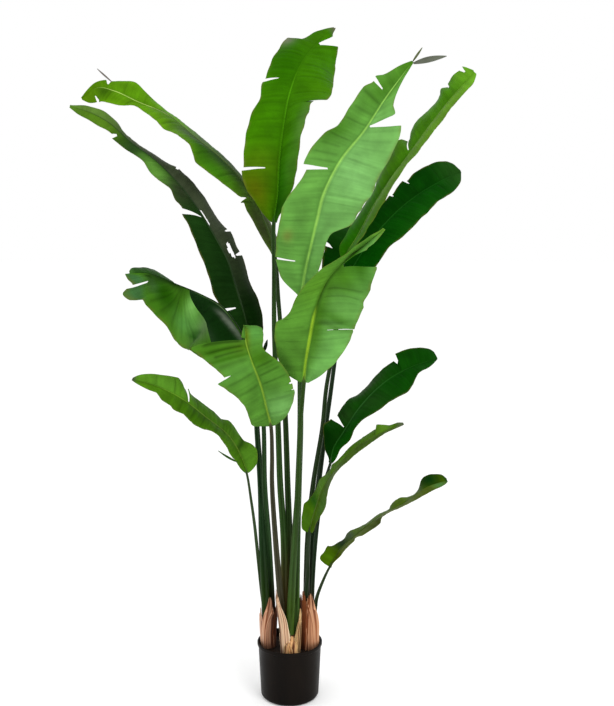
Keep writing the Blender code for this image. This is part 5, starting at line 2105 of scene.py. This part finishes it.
@dataclass
class Studio:
    """White floor, even white surroundings, soft boxes and the camera."""

    lens: float = 50.0
    camera_place: Point = (0.048, -2.60, 1.31)
    camera_pitch: float = 7.59
    sky: float = 1.0
    lamps: tuple[Lamp, ...] = field(default_factory=lambda: (
        Lamp("key_light", (1.5, -2.2, 3.0), (0.0, 0.0, 1.0), 1.6, 42.0),
        Lamp("side_light", (-2.4, -0.6, 1.8), (0.0, 0.0, 1.0), 1.2, 10.0),
    ))

    def build(self) -> None:
        """Set up the floor, the surroundings, the lamps and the camera."""
        scene = bpy.context.scene
        deselect_all()
        bpy.ops.mesh.primitive_plane_add(size=60.0, location=(0.0, 0.0, 0.0))
        floor = take_new("studio_floor")
        floor.data.materials.append(FloorFinish().material())
        world = bpy.data.worlds.new("white_surroundings")
        world.use_nodes = True
        backdrop = world.node_tree.nodes["Background"]
        backdrop.inputs["Color"].default_value = (1.0, 1.0, 1.0, 1.0)
        backdrop.inputs["Strength"].default_value = self.sky
        scene.world = world
        for lamp in self.lamps:
            lamp.build()
        data = bpy.data.cameras.new("portrait_camera")
        data.lens = self.lens
        camera = bpy.data.objects.new("portrait_camera", data)
        camera.location = self.camera_place
        camera.rotation_euler = (math.radians(90.0 - self.camera_pitch), 0.0, 0.0)
        scene.collection.objects.link(camera)
        scene.camera = camera
        scene.view_settings.view_transform = "Standard"
        LOG.info("studio: %d lamps", len(self.lamps))


def dress_node(name: str, material: Material) -> None:
    """Give a node of the frame that stays visible its finished material.

    Args:
        name: Name of the node.
        material: The material.
    """
    node = bpy.data.objects[name]
    for slot in node.material_slots:
        slot.material = material
    LOG.info("%s: new finish", name)


def main() -> None:
    """Build the studio, the pot, the stubs with their sheaths, and the leaves."""
    logging.basicConfig(level=logging.INFO, format="%(name)s %(message)s")
    Studio().build()
    Pot().build(PotFinish().material())
    Soil().build(SOIL.material())
    dress_node("cement_fill", CEMENT.material())
    bark = BARK.material()
    fibre = SheathFinish().material()
    for number, clump in enumerate(CLUMPS):
        clump.build(bark, fibre, CLUMP_SEED + CLUMP_STEP * number)
    roughness = {Slot.BRIGHT: 0.42, Slot.LIGHT: 0.46, Slot.OLIVE: 0.44, Slot.DARK: 0.38}
    cloth = {
        slot: (
            LeafFinish(f"{slot.value}_front", "tone_front", value, 0.02, 0.08, 0.0005).material(),
            LeafFinish(f"{slot.value}_back", "tone_back", value + 0.14, 0.01, 0.10, 0.0008).material(),
        )
        for slot, value in roughness.items()
    }
    skin = StalkFinish().material()
    for number, plan in enumerate(LEAVES):
        Leaf(plan, LEAF_SEED + LEAF_STEP * number).build(cloth, skin)


if __name__ == "__main__":
    main()
